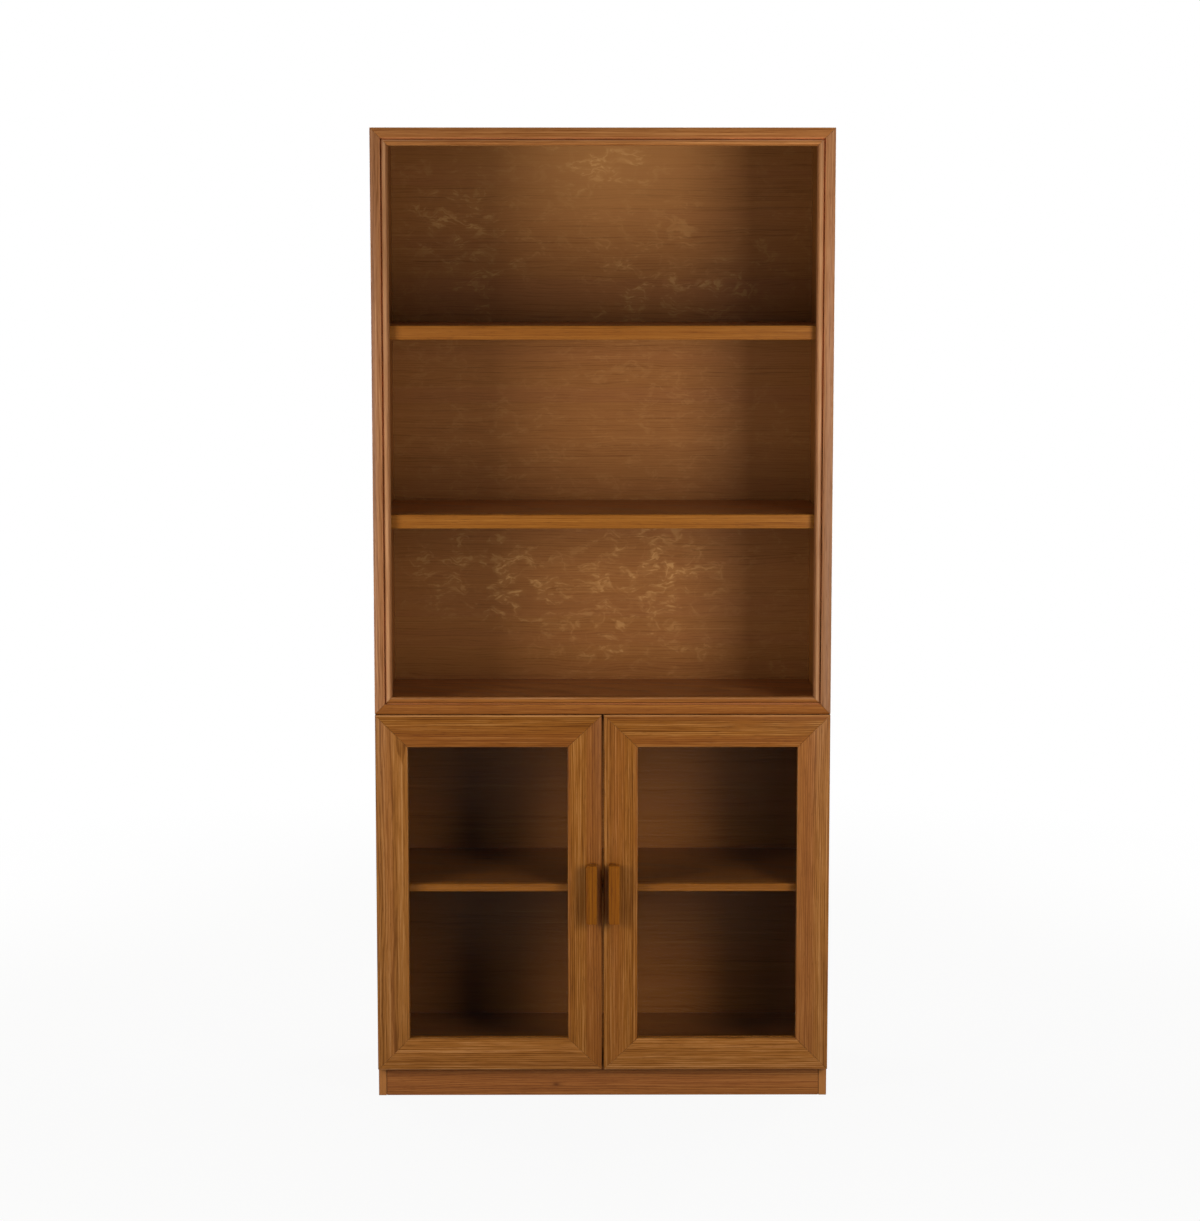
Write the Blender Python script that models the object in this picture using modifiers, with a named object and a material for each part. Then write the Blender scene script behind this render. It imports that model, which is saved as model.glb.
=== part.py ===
"""Glass-door bookcase: an open hutch with two shelves, standing on a cabinet with two framed glass doors.

Metres, +Z up, the front faces -Y. The origin is on the floor, under the middle of the whole box.
"""
import math

import bmesh
import bpy
from mathutils import Matrix, Vector

# Case boards
WIDTH = 0.914
HEIGHT = 1.954
CASE_DEPTH = 0.356
PANEL = 0.016
PLINTH_HEIGHT = 0.060
PLINTH_SETBACK = 0.001
REAR_RAIL_SETBACK = 0.030
BACK_PANEL = 0.006
BACK_INSET = 0.002
BACK_LAP = 0.008
BOARD_EASE = 0.0008

# Clear heights of the compartments, from the floor up; the top one takes what is left under the top board
CABINET_LOWER_CLEAR = 0.348
CABINET_UPPER_CLEAR = 0.335
HUTCH_LOWER_CLEAR = 0.356
HUTCH_MIDDLE_CLEAR = 0.348

# Shelves and the pins they rest on
CABINET_SHELF = 0.016
HUTCH_SHELF = 0.028
SHELF_SETBACK = 0.004
SHELF_LIPPING = 0.020
SHELF_END_GAP = 0.001
SHELF_REAR_GAP = 0.002
LIPPING_EASE = 0.0015
PIN_RADIUS = 0.0025
PIN_IN_SIDE = 0.009
PIN_PROUD = 0.009
PIN_INSET = 0.050
PIN_EASE = 0.0005

# Face frame of the hutch: flat band, groove and round bead, from the outside in
FRAME_BAND = 0.020
FRAME_GROOVE = 0.002
FRAME_BEAD = 0.013
FRAME_BEAD_DROP = 0.0005
FRAME_THICKNESS = 0.019

# Doors and their glass
DOOR_THICKNESS = 0.022
DOOR_GAP = 0.0025
DOOR_REVEAL = 0.0005
DOOR_TOP_GAP = 0.001
DOOR_BOTTOM_GAP = 0.001
DOOR_MEETING_GAP = 0.004
DOOR_MEMBER = 0.065
MEETING_STILE = 0.0685
MEMBER_ROUND = 0.0015
MITRE_EASE = 0.0005
GLASS_THICKNESS = 0.004
GLASS_SETBACK = 0.010
GLASS_LAP = 0.010
GLAZING_INSET = 0.0005
GLAZING_EASE = 0.001

# Tab pulls
PULL_HEIGHT = 0.120
PULL_FACE = 0.0225
PULL_PROUD = 0.030
PULL_EDGE_GAP = 0.0095
PULL_COVE_WIDTH = 0.009
PULL_COVE_DEPTH = 0.020
PULL_RISE = 0.3075
PULL_EASE = 0.001

# Hinges: the pin's place in the door, the cup let into the stile and the arm on the side panel
HINGE_FROM_END = 0.090
HINGE_AXIS_INSET = 0.0075
HINGE_AXIS_DEPTH = 0.012
CUP_INSET = 0.0025
CUP_LENGTH = 0.0355
CUP_HEIGHT = 0.024
CUP_DEPTH = 0.016
CUP_WALL = 0.0008
CUP_CORNER = 0.004
CUP_FLANGE = 0.0008
CUP_FLANGE_WIDTH = 0.005
HINGE_PIN_RADIUS = 0.00125
HINGE_RUNNING_GAP = 0.00035
KNUCKLE_WALL = 0.0012
ARM_THICKNESS = 0.0024
ARM_HEIGHT = 0.014
ARM_OFFSET = 0.0165
ARM_PLATE_START = 0.020
ARM_PLATE_LENGTH = 0.045

# Magnetic catches
CATCH_OFFSET = 0.075
CATCH_WIDTH = 0.040
CATCH_HEIGHT = 0.018
CATCH_DEPTH = 0.015
CATCH_AIR = 0.0005
CATCH_EASE = 0.001
STRIKE_THICKNESS = 0.0008

# Clearance between pieces that touch, and the distance under which points are one
FIT = 0.0003
WELD = 0.00001
CUTTER_REACH = 0.010

# Widths and heights worked out from the sizes above
INNER = WIDTH / 2 - PANEL
FRAME_WIDTH = FRAME_BAND + FRAME_GROOVE + FRAME_BEAD
CABINET_FLOOR = PLINTH_HEIGHT + PANEL
CABINET_SHELF_Z = CABINET_FLOOR + CABINET_LOWER_CLEAR
CABINET_CEILING = CABINET_SHELF_Z + CABINET_SHELF + CABINET_UPPER_CLEAR
BASE_HEIGHT = CABINET_CEILING + PANEL
HUTCH_FOOT = BASE_HEIGHT + FIT
HUTCH_FLOOR = HUTCH_FOOT + PANEL
LOWER_SHELF_Z = HUTCH_FLOOR + HUTCH_LOWER_CLEAR
UPPER_SHELF_Z = LOWER_SHELF_Z + HUTCH_SHELF + HUTCH_MIDDLE_CLEAR
HUTCH_CEILING = HEIGHT - PANEL

# Depths, from the rear edges of the sides to the front of the pulls
REAR = (CASE_DEPTH + DOOR_GAP + DOOR_THICKNESS + FIT + PULL_PROUD) / 2
CASE_FRONT = REAR - CASE_DEPTH
BACK_REAR = REAR - BACK_INSET
BACK_FACE = BACK_REAR - BACK_PANEL
REBATE = BACK_FACE - FIT
DOOR_REAR = CASE_FRONT - DOOR_GAP

# The doors' outer size, and the depths of glass and bead in front of a door's rear face
DOOR_WIDTH = WIDTH / 2 - DOOR_REVEAL - DOOR_MEETING_GAP / 2
DOOR_LOW = PLINTH_HEIGHT + DOOR_BOTTOM_GAP
DOOR_HIGH = HUTCH_FOOT - DOOR_TOP_GAP
GLASS_SEAT = DOOR_THICKNESS - GLASS_SETBACK
GLASS_FRONT = GLASS_SEAT - FIT
GLASS_REAR = GLASS_FRONT - GLASS_THICKNESS
BEAD_FRONT = GLASS_REAR - FIT

# Each end of a mitred member is cut back by this, to leave the fitting gap between two members
MITRE_CUT = FIT / math.sqrt(2)
SMOOTH_ANGLE = math.radians(35)
BEVEL_ANGLE = math.radians(30)
SIDES = {"left": -1, "right": 1}

# Colour, roughness, metallic and transmission of each finish
FINISHES = {
    "frame_wood": ((0.350, 0.155, 0.065), 0.45, 0.0, 0.0),
    "case_wood": ((0.270, 0.115, 0.042), 0.50, 0.0, 0.0),
    "back_veneer": ((0.210, 0.095, 0.038), 0.45, 0.0, 0.0),
    "door_wood": ((0.300, 0.120, 0.037), 0.45, 0.0, 0.0),
    "lipping_wood": ((0.266, 0.093, 0.020), 0.45, 0.0, 0.0),
    "plinth_wood": ((0.200, 0.070, 0.022), 0.50, 0.0, 0.0),
    "pull_wood": ((0.200, 0.063, 0.010), 0.40, 0.0, 0.0),
    "clear_glass": ((0.90, 0.92, 0.90), 0.02, 0.0, 1.0),
    "steel": ((0.60, 0.59, 0.57), 0.35, 1.0, 0.0),
    "brown_plastic": ((0.060, 0.035, 0.022), 0.50, 0.0, 0.0),
}


def clear_scene():
    """Remove whatever the scene already holds."""
    for item in list(bpy.data.objects):
        bpy.data.objects.remove(item)


def new_collection(name):
    """A new collection in the scene."""
    group = bpy.data.collections.new(name)
    bpy.context.scene.collection.children.link(group)
    return group


def new_finish(name, kind):
    """The material of one piece."""
    colour, roughness, metallic, transmission = FINISHES[kind]
    material = bpy.data.materials.new(name)
    material.use_nodes = True
    shader = material.node_tree.nodes["Principled BSDF"]
    shader.inputs["Base Color"].default_value = (*colour, 1.0)
    shader.inputs["Roughness"].default_value = roughness
    shader.inputs["Metallic"].default_value = metallic
    shader.inputs["Transmission Weight"].default_value = transmission
    return material


def placing(x_axis, y_axis, z_axis, origin):
    """A matrix that turns local X, Y and Z to the given directions and moves to the origin given."""
    turn = Matrix((x_axis, y_axis, z_axis)).transposed()
    return Matrix.Translation(origin) @ turn.to_4x4()


def arc(centre, radius, start, end, steps=4):
    """Points on a circle between two angles in degrees, both ends included."""
    points = []
    for step in range(steps + 1):
        angle = math.radians(start + (end - start) * step / steps)
        points.append((centre[0] + radius * math.cos(angle), centre[1] + radius * math.sin(angle)))
    return points


def rectangle(low, high):
    """The four corners of an upright rectangle."""
    return [(low[0], low[1]), (high[0], low[1]), (high[0], high[1]), (low[0], high[1])]


def rounded_rectangle(low, high, radius):
    """A rectangle with round corners."""
    points = arc((high[0] - radius, high[1] - radius), radius, 0, 90)
    points += arc((low[0] + radius, high[1] - radius), radius, 90, 180)
    points += arc((low[0] + radius, low[1] + radius), radius, 180, 270)
    points += arc((high[0] - radius, low[1] + radius), radius, 270, 360)
    return points


def box_mesh(low, high):
    """A box between two opposite corners."""
    low = Vector(low)
    high = Vector(high)
    shape = bmesh.new()
    bmesh.ops.create_cube(shape, size=1.0, matrix=Matrix.LocRotScale((low + high) / 2, None, high - low))
    mesh = bpy.data.meshes.new("box")
    shape.to_mesh(mesh)
    shape.free()
    return mesh


def rod_mesh(centre, radius, length, axis, sides=16):
    """A round rod along X or Z."""
    turn = Matrix.Rotation(math.radians(90), 4, "Y") if axis == "X" else Matrix.Identity(4)
    shape = bmesh.new()
    bmesh.ops.create_cone(shape, cap_ends=True, segments=sides, radius1=radius, radius2=radius,
                          depth=length, matrix=Matrix.Translation(centre) @ turn)
    mesh = bpy.data.meshes.new("rod")
    shape.to_mesh(mesh)
    shape.free()
    return mesh


def prism_mesh(outlines, length, place):
    """Flat outlines, any inner ones being holes, made into a solid of the given length along local Z."""
    curve = bpy.data.curves.new("outline", "CURVE")
    curve.dimensions = "2D"
    curve.fill_mode = "BOTH"
    curve.extrude = length / 2
    for outline in outlines:
        spline = curve.splines.new("POLY")
        spline.points.add(len(outline) - 1)
        for point, (x, y) in zip(spline.points, outline):
            point.co = (x, y, 0.0, 1.0)
        spline.use_cyclic_u = True
    holder = bpy.data.objects.new("outline", curve)
    bpy.context.scene.collection.objects.link(holder)
    evaluated = holder.evaluated_get(bpy.context.evaluated_depsgraph_get())
    mesh = bpy.data.meshes.new_from_object(evaluated)
    bpy.data.objects.remove(holder)
    bpy.data.curves.remove(curve)
    shape = bmesh.new()
    shape.from_mesh(mesh)
    bmesh.ops.remove_doubles(shape, verts=shape.verts, dist=WELD)
    bmesh.ops.transform(shape, matrix=place, verts=shape.verts)
    bmesh.ops.recalc_face_normals(shape, faces=shape.faces)
    shape.to_mesh(mesh)
    shape.free()
    return mesh


def mitred_mesh(section, length, place, low_slope, high_slope):
    """A length of moulding with both ends mitred. The section's X is the way in from the outer edge.

    A slope is how far that end runs back for each unit of the way in.
    """
    mesh = prism_mesh([section], length, Matrix.Identity(4))
    for vertex in mesh.vertices:
        slope = high_slope if vertex.co.z > 0 else low_slope
        vertex.co.z -= math.copysign(slope * vertex.co.x + MITRE_CUT, vertex.co.z)
    mesh.transform(place)
    if place.is_negative:
        mesh.flip_normals()
    return mesh


def mitred_frame(low_x, high_x, low_z, high_z, rear, section, left=1.0, right=1.0):
    """The four members of a mitred frame round a rectangle, by the edge that each one is on.

    Left and right tell how many times as wide as the rails those two stiles are.
    """
    middle_x = (low_x + high_x) / 2
    middle_z = (low_z + high_z) / 2
    across = high_x - low_x
    tall = high_z - low_z
    front = (0, -1, 0)
    along_x = (1, 0, 0)
    along_z = (0, 0, 1)
    rails = {
        "top": placing((0, 0, -1), front, along_x, (middle_x, rear, high_z)),
        "bottom": placing((0, 0, 1), front, along_x, (middle_x, rear, low_z)),
    }
    stiles = {
        "left": (left, placing((1, 0, 0), front, along_z, (low_x, rear, middle_z))),
        "right": (right, placing((-1, 0, 0), front, along_z, (high_x, rear, middle_z))),
    }
    members = {edge: mitred_mesh(section, across, place, left, right) for edge, place in rails.items()}
    for edge, (wider, place) in stiles.items():
        widened = [(wider * x, y) for x, y in section]
        members[edge] = mitred_mesh(widened, tall, place, 1 / wider, 1 / wider)
    return members


def add_object(name, mesh, group, hinge=None):
    """An object with its origin in the middle of its mesh, on a hinge line if it moves with a door."""
    corners = [Vector(vertex.co) for vertex in mesh.vertices]
    low = Vector([min(corner[i] for corner in corners) for i in range(3)])
    high = Vector([max(corner[i] for corner in corners) for i in range(3)])
    middle = (low + high) / 2
    mesh.transform(Matrix.Translation(-middle))
    mesh.name = name
    item = bpy.data.objects.new(name, mesh)
    item.location = middle
    item.parent = hinge
    group.objects.link(item)
    return item


def mark_outside_edges(mesh):
    """Weight the outside corners of a mesh, so that only they are eased and a rebate stays square."""
    shape = bmesh.new()
    shape.from_mesh(mesh)
    weight = shape.edges.layers.float.new("bevel_weight_edge")
    for edge in shape.edges:
        if edge.is_convex and edge.calc_face_angle(0.0) > BEVEL_ANGLE:
            edge[weight] = 1.0
    shape.to_mesh(mesh)
    shape.free()


def add_part(name, mesh, kind, ease=0.0, hinge=None):
    """One piece of the bookcase, with its finish and its eased edges."""
    part = add_object(name, mesh, PARTS, hinge)
    mesh.materials.append(new_finish(name, kind))
    mesh.shade_smooth()
    mesh.set_sharp_from_angle(angle=SMOOTH_ANGLE)
    if ease > 0:
        mark_outside_edges(mesh)
        bevel = part.modifiers.new("eased_edges", "BEVEL")
        bevel.width = ease
        bevel.segments = 1
        bevel.limit_method = "WEIGHT"
    return part


def add_board(name, low, high, kind="case_wood", ease=BOARD_EASE):
    """A flat board or block between two opposite corners."""
    return add_part(name, box_mesh(low, high), kind, ease)


def combine(part, operation, mesh, hinge=None):
    """Cut a mesh out of a part, or join it on, with a Boolean modifier."""
    tool = add_object(f"{part.name}_{operation.lower()}_{len(part.modifiers)}", mesh, CUTTERS, hinge)
    tool.hide_render = True
    tool.display_type = "WIRE"
    modifier = part.modifiers.new(operation.lower(), "BOOLEAN")
    modifier.operation = operation
    modifier.object = tool


def side_panel(name, side, low_z, high_z):
    """A side board, rebated along its rear inner edge for the back panel."""
    outer = side * WIDTH / 2
    inner = side * INNER
    lap = side * (INNER + BACK_LAP)
    outline = [(outer, CASE_FRONT), (inner, CASE_FRONT), (inner, REBATE)]
    outline += [(lap, REBATE), (lap, REAR), (outer, REAR)]
    place = Matrix.Translation((0, 0, (low_z + high_z) / 2))
    return add_part(name, prism_mesh([outline], high_z - low_z, place), "case_wood", BOARD_EASE)


def back_board(name, low_z, high_z):
    """A thin back that sits in the sides' rebates."""
    half = INNER + BACK_LAP - FIT
    add_board(name, (-half, BACK_FACE, low_z), (half, BACK_REAR, high_z), "back_veneer", ease=0.0)


def cross_board(name, front, rear, low_z, high_z, kind="case_wood"):
    """A board between the two sides."""
    half = INNER - FIT
    add_board(name, (-half, front, low_z), (half, rear, high_z), kind)


def pins_for_shelf(shelf, underside, panels):
    """Four steel pins in holes in the sides, just under a shelf."""
    centre_z = underside - FIT - PIN_RADIUS
    length = PIN_IN_SIDE + PIN_PROUD
    rows = {"front": CASE_FRONT + SHELF_SETBACK + PIN_INSET, "rear": BACK_FACE - SHELF_REAR_GAP - PIN_INSET}
    for label, side in SIDES.items():
        centre_x = side * (INNER + (PIN_IN_SIDE - PIN_PROUD) / 2)
        hole_x = side * (INNER + (PIN_IN_SIDE + FIT - PIN_PROUD) / 2)
        for row, centre_y in rows.items():
            pin = rod_mesh((centre_x, centre_y, centre_z), PIN_RADIUS, length, "X")
            add_part(f"{shelf}_pin_{label}_{row}", pin, "steel", PIN_EASE)
            hole = rod_mesh((hole_x, centre_y, centre_z), PIN_RADIUS + FIT, length + FIT, "X")
            combine(panels[label], "DIFFERENCE", hole)


def shelf(name, underside, thickness, panels):
    """A shelf board with a solid lipping along its front, resting on four pins."""
    half = INNER - SHELF_END_GAP
    front = CASE_FRONT + SHELF_SETBACK
    joint = front + SHELF_LIPPING
    top = underside + thickness
    add_board(f"{name}_lipping", (-half, front, underside), (half, joint, top), "lipping_wood", LIPPING_EASE)
    add_board(name, (-half, joint + FIT, underside), (half, BACK_FACE - SHELF_REAR_GAP, top))
    pins_for_shelf(name, underside, panels)


def cabinet():
    """The lower case, its plinth and its shelf."""
    panels = {}
    for label, side in SIDES.items():
        panels[label] = side_panel(f"cabinet_{label}_side", side, 0.0, BASE_HEIGHT)
    cross_board("cabinet_bottom", CASE_FRONT, REBATE, PLINTH_HEIGHT, CABINET_FLOOR)
    cross_board("cabinet_top", CASE_FRONT, REBATE, CABINET_CEILING, BASE_HEIGHT)
    back_board("cabinet_back", PLINTH_HEIGHT, BASE_HEIGHT)
    front = CASE_FRONT + PLINTH_SETBACK
    rear = REBATE - REAR_RAIL_SETBACK
    cross_board("plinth_front_rail", front, front + PANEL, 0.0, PLINTH_HEIGHT - FIT, "plinth_wood")
    cross_board("plinth_rear_rail", rear - PANEL, rear, 0.0, PLINTH_HEIGHT - FIT, "plinth_wood")
    shelf("cabinet_shelf", CABINET_SHELF_Z, CABINET_SHELF, panels)


def hutch_top():
    """The top board, over the sides, with a rebate for the back panel that stops short of its ends."""
    half = WIDTH / 2
    top = add_board("hutch_top", (-half, CASE_FRONT, HUTCH_CEILING), (half, REAR, HEIGHT))
    stop = INNER + BACK_LAP
    low = (-stop, REBATE, HUTCH_CEILING - CUTTER_REACH)
    high = (stop, REAR + CUTTER_REACH, HUTCH_CEILING + BACK_LAP)
    combine(top, "DIFFERENCE", box_mesh(low, high))


def frame_section():
    """The face frame's section: a flat band, a groove and a half-round bead."""
    radius = FRAME_BEAD / 2
    round_centre = (MEMBER_ROUND, FRAME_THICKNESS - MEMBER_ROUND)
    bead_z = FRAME_THICKNESS - FRAME_BEAD_DROP - radius
    points = [(0.0, 0.0)]
    points += arc(round_centre, MEMBER_ROUND, 180, 90, 2)
    points += [(FRAME_BAND, FRAME_THICKNESS), (FRAME_BAND, bead_z)]
    points += arc((FRAME_WIDTH - radius, bead_z), radius, 180, 0, 8)
    points += [(FRAME_WIDTH, 0.0)]
    return points


def hutch():
    """The upper case, its face frame and its two shelves."""
    panels = {}
    for label, side in SIDES.items():
        panels[label] = side_panel(f"hutch_{label}_side", side, HUTCH_FOOT, HUTCH_CEILING - FIT)
    cross_board("hutch_bottom", CASE_FRONT, REBATE, HUTCH_FOOT, HUTCH_FLOOR)
    hutch_top()
    back_board("hutch_back", HUTCH_FOOT, HUTCH_CEILING + BACK_LAP - FIT)
    half = WIDTH / 2
    members = mitred_frame(-half, half, HUTCH_FOOT, HEIGHT, CASE_FRONT - FIT, frame_section())
    for edge, mesh in members.items():
        add_part(f"hutch_frame_{edge}", mesh, "frame_wood", MITRE_EASE)
    shelf("hutch_lower_shelf", LOWER_SHELF_Z, HUTCH_SHELF, panels)
    shelf("hutch_upper_shelf", UPPER_SHELF_Z, HUTCH_SHELF, panels)


def door_section():
    """A door member's section: round outer edges, and a rebate behind the inner edge for the glass."""
    inner = DOOR_MEMBER - MEMBER_ROUND
    front = DOOR_THICKNESS - MEMBER_ROUND
    rebate = DOOR_MEMBER - GLASS_LAP
    points = arc((MEMBER_ROUND, MEMBER_ROUND), MEMBER_ROUND, 270, 180, 2)
    points += arc((MEMBER_ROUND, front), MEMBER_ROUND, 180, 90, 2)
    points += arc((inner, front), MEMBER_ROUND, 90, 0, 2)
    points += [(DOOR_MEMBER, GLASS_SEAT), (rebate, GLASS_SEAT), (rebate, 0.0)]
    return points


class DoorPlace:
    """Places on a door: how far in from its outer edge and how far forward of its rear face.

    They are turned into coordinates from the door's hinge line.
    """

    def __init__(self, side):
        self.side = side

    def x(self, inset):
        """The local X of a point this far in from the outer edge."""
        return self.side * (HINGE_AXIS_INSET - inset)

    def y(self, forward):
        """The local Y of a point this far in front of the rear face."""
        return HINGE_AXIS_DEPTH - forward

    def slab(self, outlines, forward_a, forward_b):
        """A solid whose outlines are in local X and Z, between two forward distances."""
        middle = (0, self.y((forward_a + forward_b) / 2), 0)
        place = placing((1, 0, 0), (0, 0, 1), (0, -1, 0), middle)
        return prism_mesh(outlines, abs(forward_b - forward_a), place)


def hinge_axis(side):
    """Where a door's hinge line stands."""
    return side * (WIDTH / 2 - DOOR_REVEAL - HINGE_AXIS_INSET), DOOR_REAR - HINGE_AXIS_DEPTH


def hinge_cup(name, place, centre_z, stile, hinge):
    """A pressed cup with a thin flange, let into the stile, and the hinge pin fixed across it."""
    def outline(near, far, half, radius):
        across = sorted((place.x(near), place.x(far)))
        return rounded_rectangle((across[0], centre_z - half), (across[1], centre_z + half), radius)

    far = CUP_INSET + CUP_LENGTH
    half = CUP_HEIGHT / 2
    flange_rear = -FIT - CUP_FLANGE
    body = place.slab([outline(CUP_INSET, far, half, CUP_CORNER)], flange_rear, CUP_DEPTH)
    wide = outline(CUP_INSET, far + CUP_FLANGE_WIDTH, half + CUP_FLANGE_WIDTH, CUP_CORNER)
    flange = place.slab([wide], flange_rear, -FIT)
    hollow = outline(CUP_INSET + CUP_WALL, far - CUP_WALL, half - CUP_WALL, CUP_CORNER - CUP_WALL)
    cavity = place.slab([hollow], flange_rear - CUTTER_REACH, CUP_DEPTH - CUP_WALL)
    pin = rod_mesh((0, 0, centre_z), HINGE_PIN_RADIUS, CUP_HEIGHT - CUP_WALL, "Z", sides=12)
    cup = add_part(name, body, "steel", hinge=hinge)
    combine(cup, "UNION", flange, hinge)
    combine(cup, "DIFFERENCE", cavity, hinge)
    combine(cup, "UNION", pin, hinge)
    pocket = outline(CUP_INSET - FIT, far + FIT, half + FIT, CUP_CORNER + FIT)
    combine(stile, "DIFFERENCE", place.slab([pocket], -CUTTER_REACH, CUP_DEPTH + FIT), hinge)


def hinge_arm(name, side, centre_z):
    """A bent arm from a plate on the side panel to a knuckle on the hinge pin."""
    axis_x, axis_y = hinge_axis(side)
    half = ARM_THICKNESS / 2
    bore = HINGE_PIN_RADIUS + HINGE_RUNNING_GAP
    knuckle = bore + KNUCKLE_WALL
    meet = math.degrees(math.asin(half / knuckle))
    panel_face = side * axis_x - INNER + FIT
    plate_front = CASE_FRONT + ARM_PLATE_START - axis_y
    plate_rear = plate_front + ARM_PLATE_LENGTH
    points = arc((0, 0), knuckle, 180 - meet, meet - 180, 14)
    points += [(-ARM_OFFSET - half, -half), (-ARM_OFFSET - half, plate_rear), (-panel_face, plate_rear)]
    points += [(-panel_face, plate_front), (half - ARM_OFFSET, plate_front), (half - ARM_OFFSET, half)]
    place = placing((side, 0, 0), (0, 1, 0), (0, 0, 1), (axis_x, axis_y, centre_z))
    hole = arc((0, 0), bore, 0, 330, 11)
    add_part(name, prism_mesh([points, hole], ARM_HEIGHT, place), "steel")


def tab_pull(name, place, hinge):
    """A wooden tab, square towards the meeting edge, with a finger cove on its outer side."""
    near = DOOR_WIDTH - PULL_EDGE_GAP
    far = near - PULL_FACE
    base = DOOR_THICKNESS + FIT
    points = [(near, base), (near, base + PULL_PROUD), (far, base + PULL_PROUD)]
    for step in range(7):
        angle = math.radians(15 * step)
        points.append((far + PULL_COVE_WIDTH * math.sin(angle), base + PULL_COVE_DEPTH * math.cos(angle)))
    outline = [(place.x(inset), place.y(forward)) for inset, forward in points]
    centre_z = DOOR_LOW + PULL_RISE + PULL_HEIGHT / 2
    mesh = prism_mesh([outline], PULL_HEIGHT, Matrix.Translation((0, 0, centre_z)))
    add_part(name, mesh, "pull_wood", PULL_EASE, hinge)


def catch_and_strike(name, place, hinge):
    """A magnetic catch under the cabinet top, and the steel plate that meets it on the door's rear face."""
    low_z = CABINET_CEILING - FIT - CATCH_HEIGHT
    high_z = CABINET_CEILING - FIT
    low_x, high_x = sorted(place.side * (CATCH_OFFSET + half) for half in (-CATCH_WIDTH / 2, CATCH_WIDTH / 2))
    strike_front = DOOR_REAR + FIT
    front = strike_front + STRIKE_THICKNESS + CATCH_AIR
    strike = box_mesh((low_x, strike_front, low_z), (high_x, strike_front + STRIKE_THICKNESS, high_z))
    strike.transform(Matrix.Translation(-hinge.location))
    add_part(f"{name}_strike_plate", strike, "steel", hinge=hinge)
    catch = ((low_x, front, low_z), (high_x, front + CATCH_DEPTH, high_z))
    add_board(f"{name}_magnet_catch", *catch, "brown_plastic", CATCH_EASE)


def door(label, side):
    """A glass door on its hinge line, with its hinges, pull and strike plate."""
    name = f"{label}_door"
    place = DoorPlace(side)
    hinge = bpy.data.objects.new(f"{name}_hinge_line", None)
    hinge.location = (*hinge_axis(side), 0.0)
    PARTS.objects.link(hinge)
    low_x, high_x = sorted((place.x(0.0), place.x(DOOR_WIDTH)))
    wider = MEETING_STILE / DOOR_MEMBER
    left, right = (1.0, wider) if side < 0 else (wider, 1.0)
    members = mitred_frame(low_x, high_x, DOOR_LOW, DOOR_HIGH, place.y(0.0), door_section(), left, right)
    names = {"top": "top_rail", "bottom": "bottom_rail", label: "hinge_stile"}
    stiles = {}
    for edge, mesh in members.items():
        piece = names.get(edge, "meeting_stile")
        stiles[piece] = add_part(f"{name}_{piece}", mesh, "door_wood", MITRE_EASE, hinge)

    def inset_outline(inset):
        return rectangle((low_x + left * inset, DOOR_LOW + inset), (high_x - right * inset, DOOR_HIGH - inset))

    seat = DOOR_MEMBER - GLASS_LAP + FIT
    pane = place.slab([inset_outline(seat)], GLASS_REAR, GLASS_FRONT)
    add_part(f"{name}_glass", pane, "clear_glass", hinge=hinge)
    ring = place.slab([inset_outline(seat), inset_outline(DOOR_MEMBER)], GLAZING_INSET, BEAD_FRONT)
    add_part(f"{name}_glazing_bead", ring, "door_wood", GLAZING_EASE, hinge)
    tab_pull(f"{name}_pull", place, hinge)

    heights = {"lower": DOOR_LOW + HINGE_FROM_END, "upper": DOOR_HIGH - HINGE_FROM_END}
    for level, centre_z in heights.items():
        hinge_cup(f"{name}_{level}_hinge_cup", place, centre_z, stiles["hinge_stile"], hinge)
        hinge_arm(f"{name}_{level}_hinge_arm", side, centre_z)

    catch_and_strike(name, place, hinge)


clear_scene()
PARTS = new_collection("glass_door_bookcase")
CUTTERS = new_collection("cutters")
cabinet()
hutch()
for door_label, door_side in SIDES.items():
    door(door_label, door_side)
print(f"bookcase {WIDTH:.3f} m wide, {2 * REAR:.3f} m deep over the pulls, {HEIGHT:.3f} m high")
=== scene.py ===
# %% [markdown]
# # Dressing a glass-door bookcase
# The solids of the bookcase are already at their real size: boards, mitred frames, panes, hinges and
# pulls. This lesson keeps every solid where it is and gives it a finish: stained timber with its own
# grain on every member, a figured veneer back, clear glass, nickelled hinges and small screws.
# All lengths are metres, +Z is up and the front of the bookcase faces -Y.

# %% Load the solids
import math

import bmesh
import bpy
from mathutils import Matrix, Vector


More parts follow.
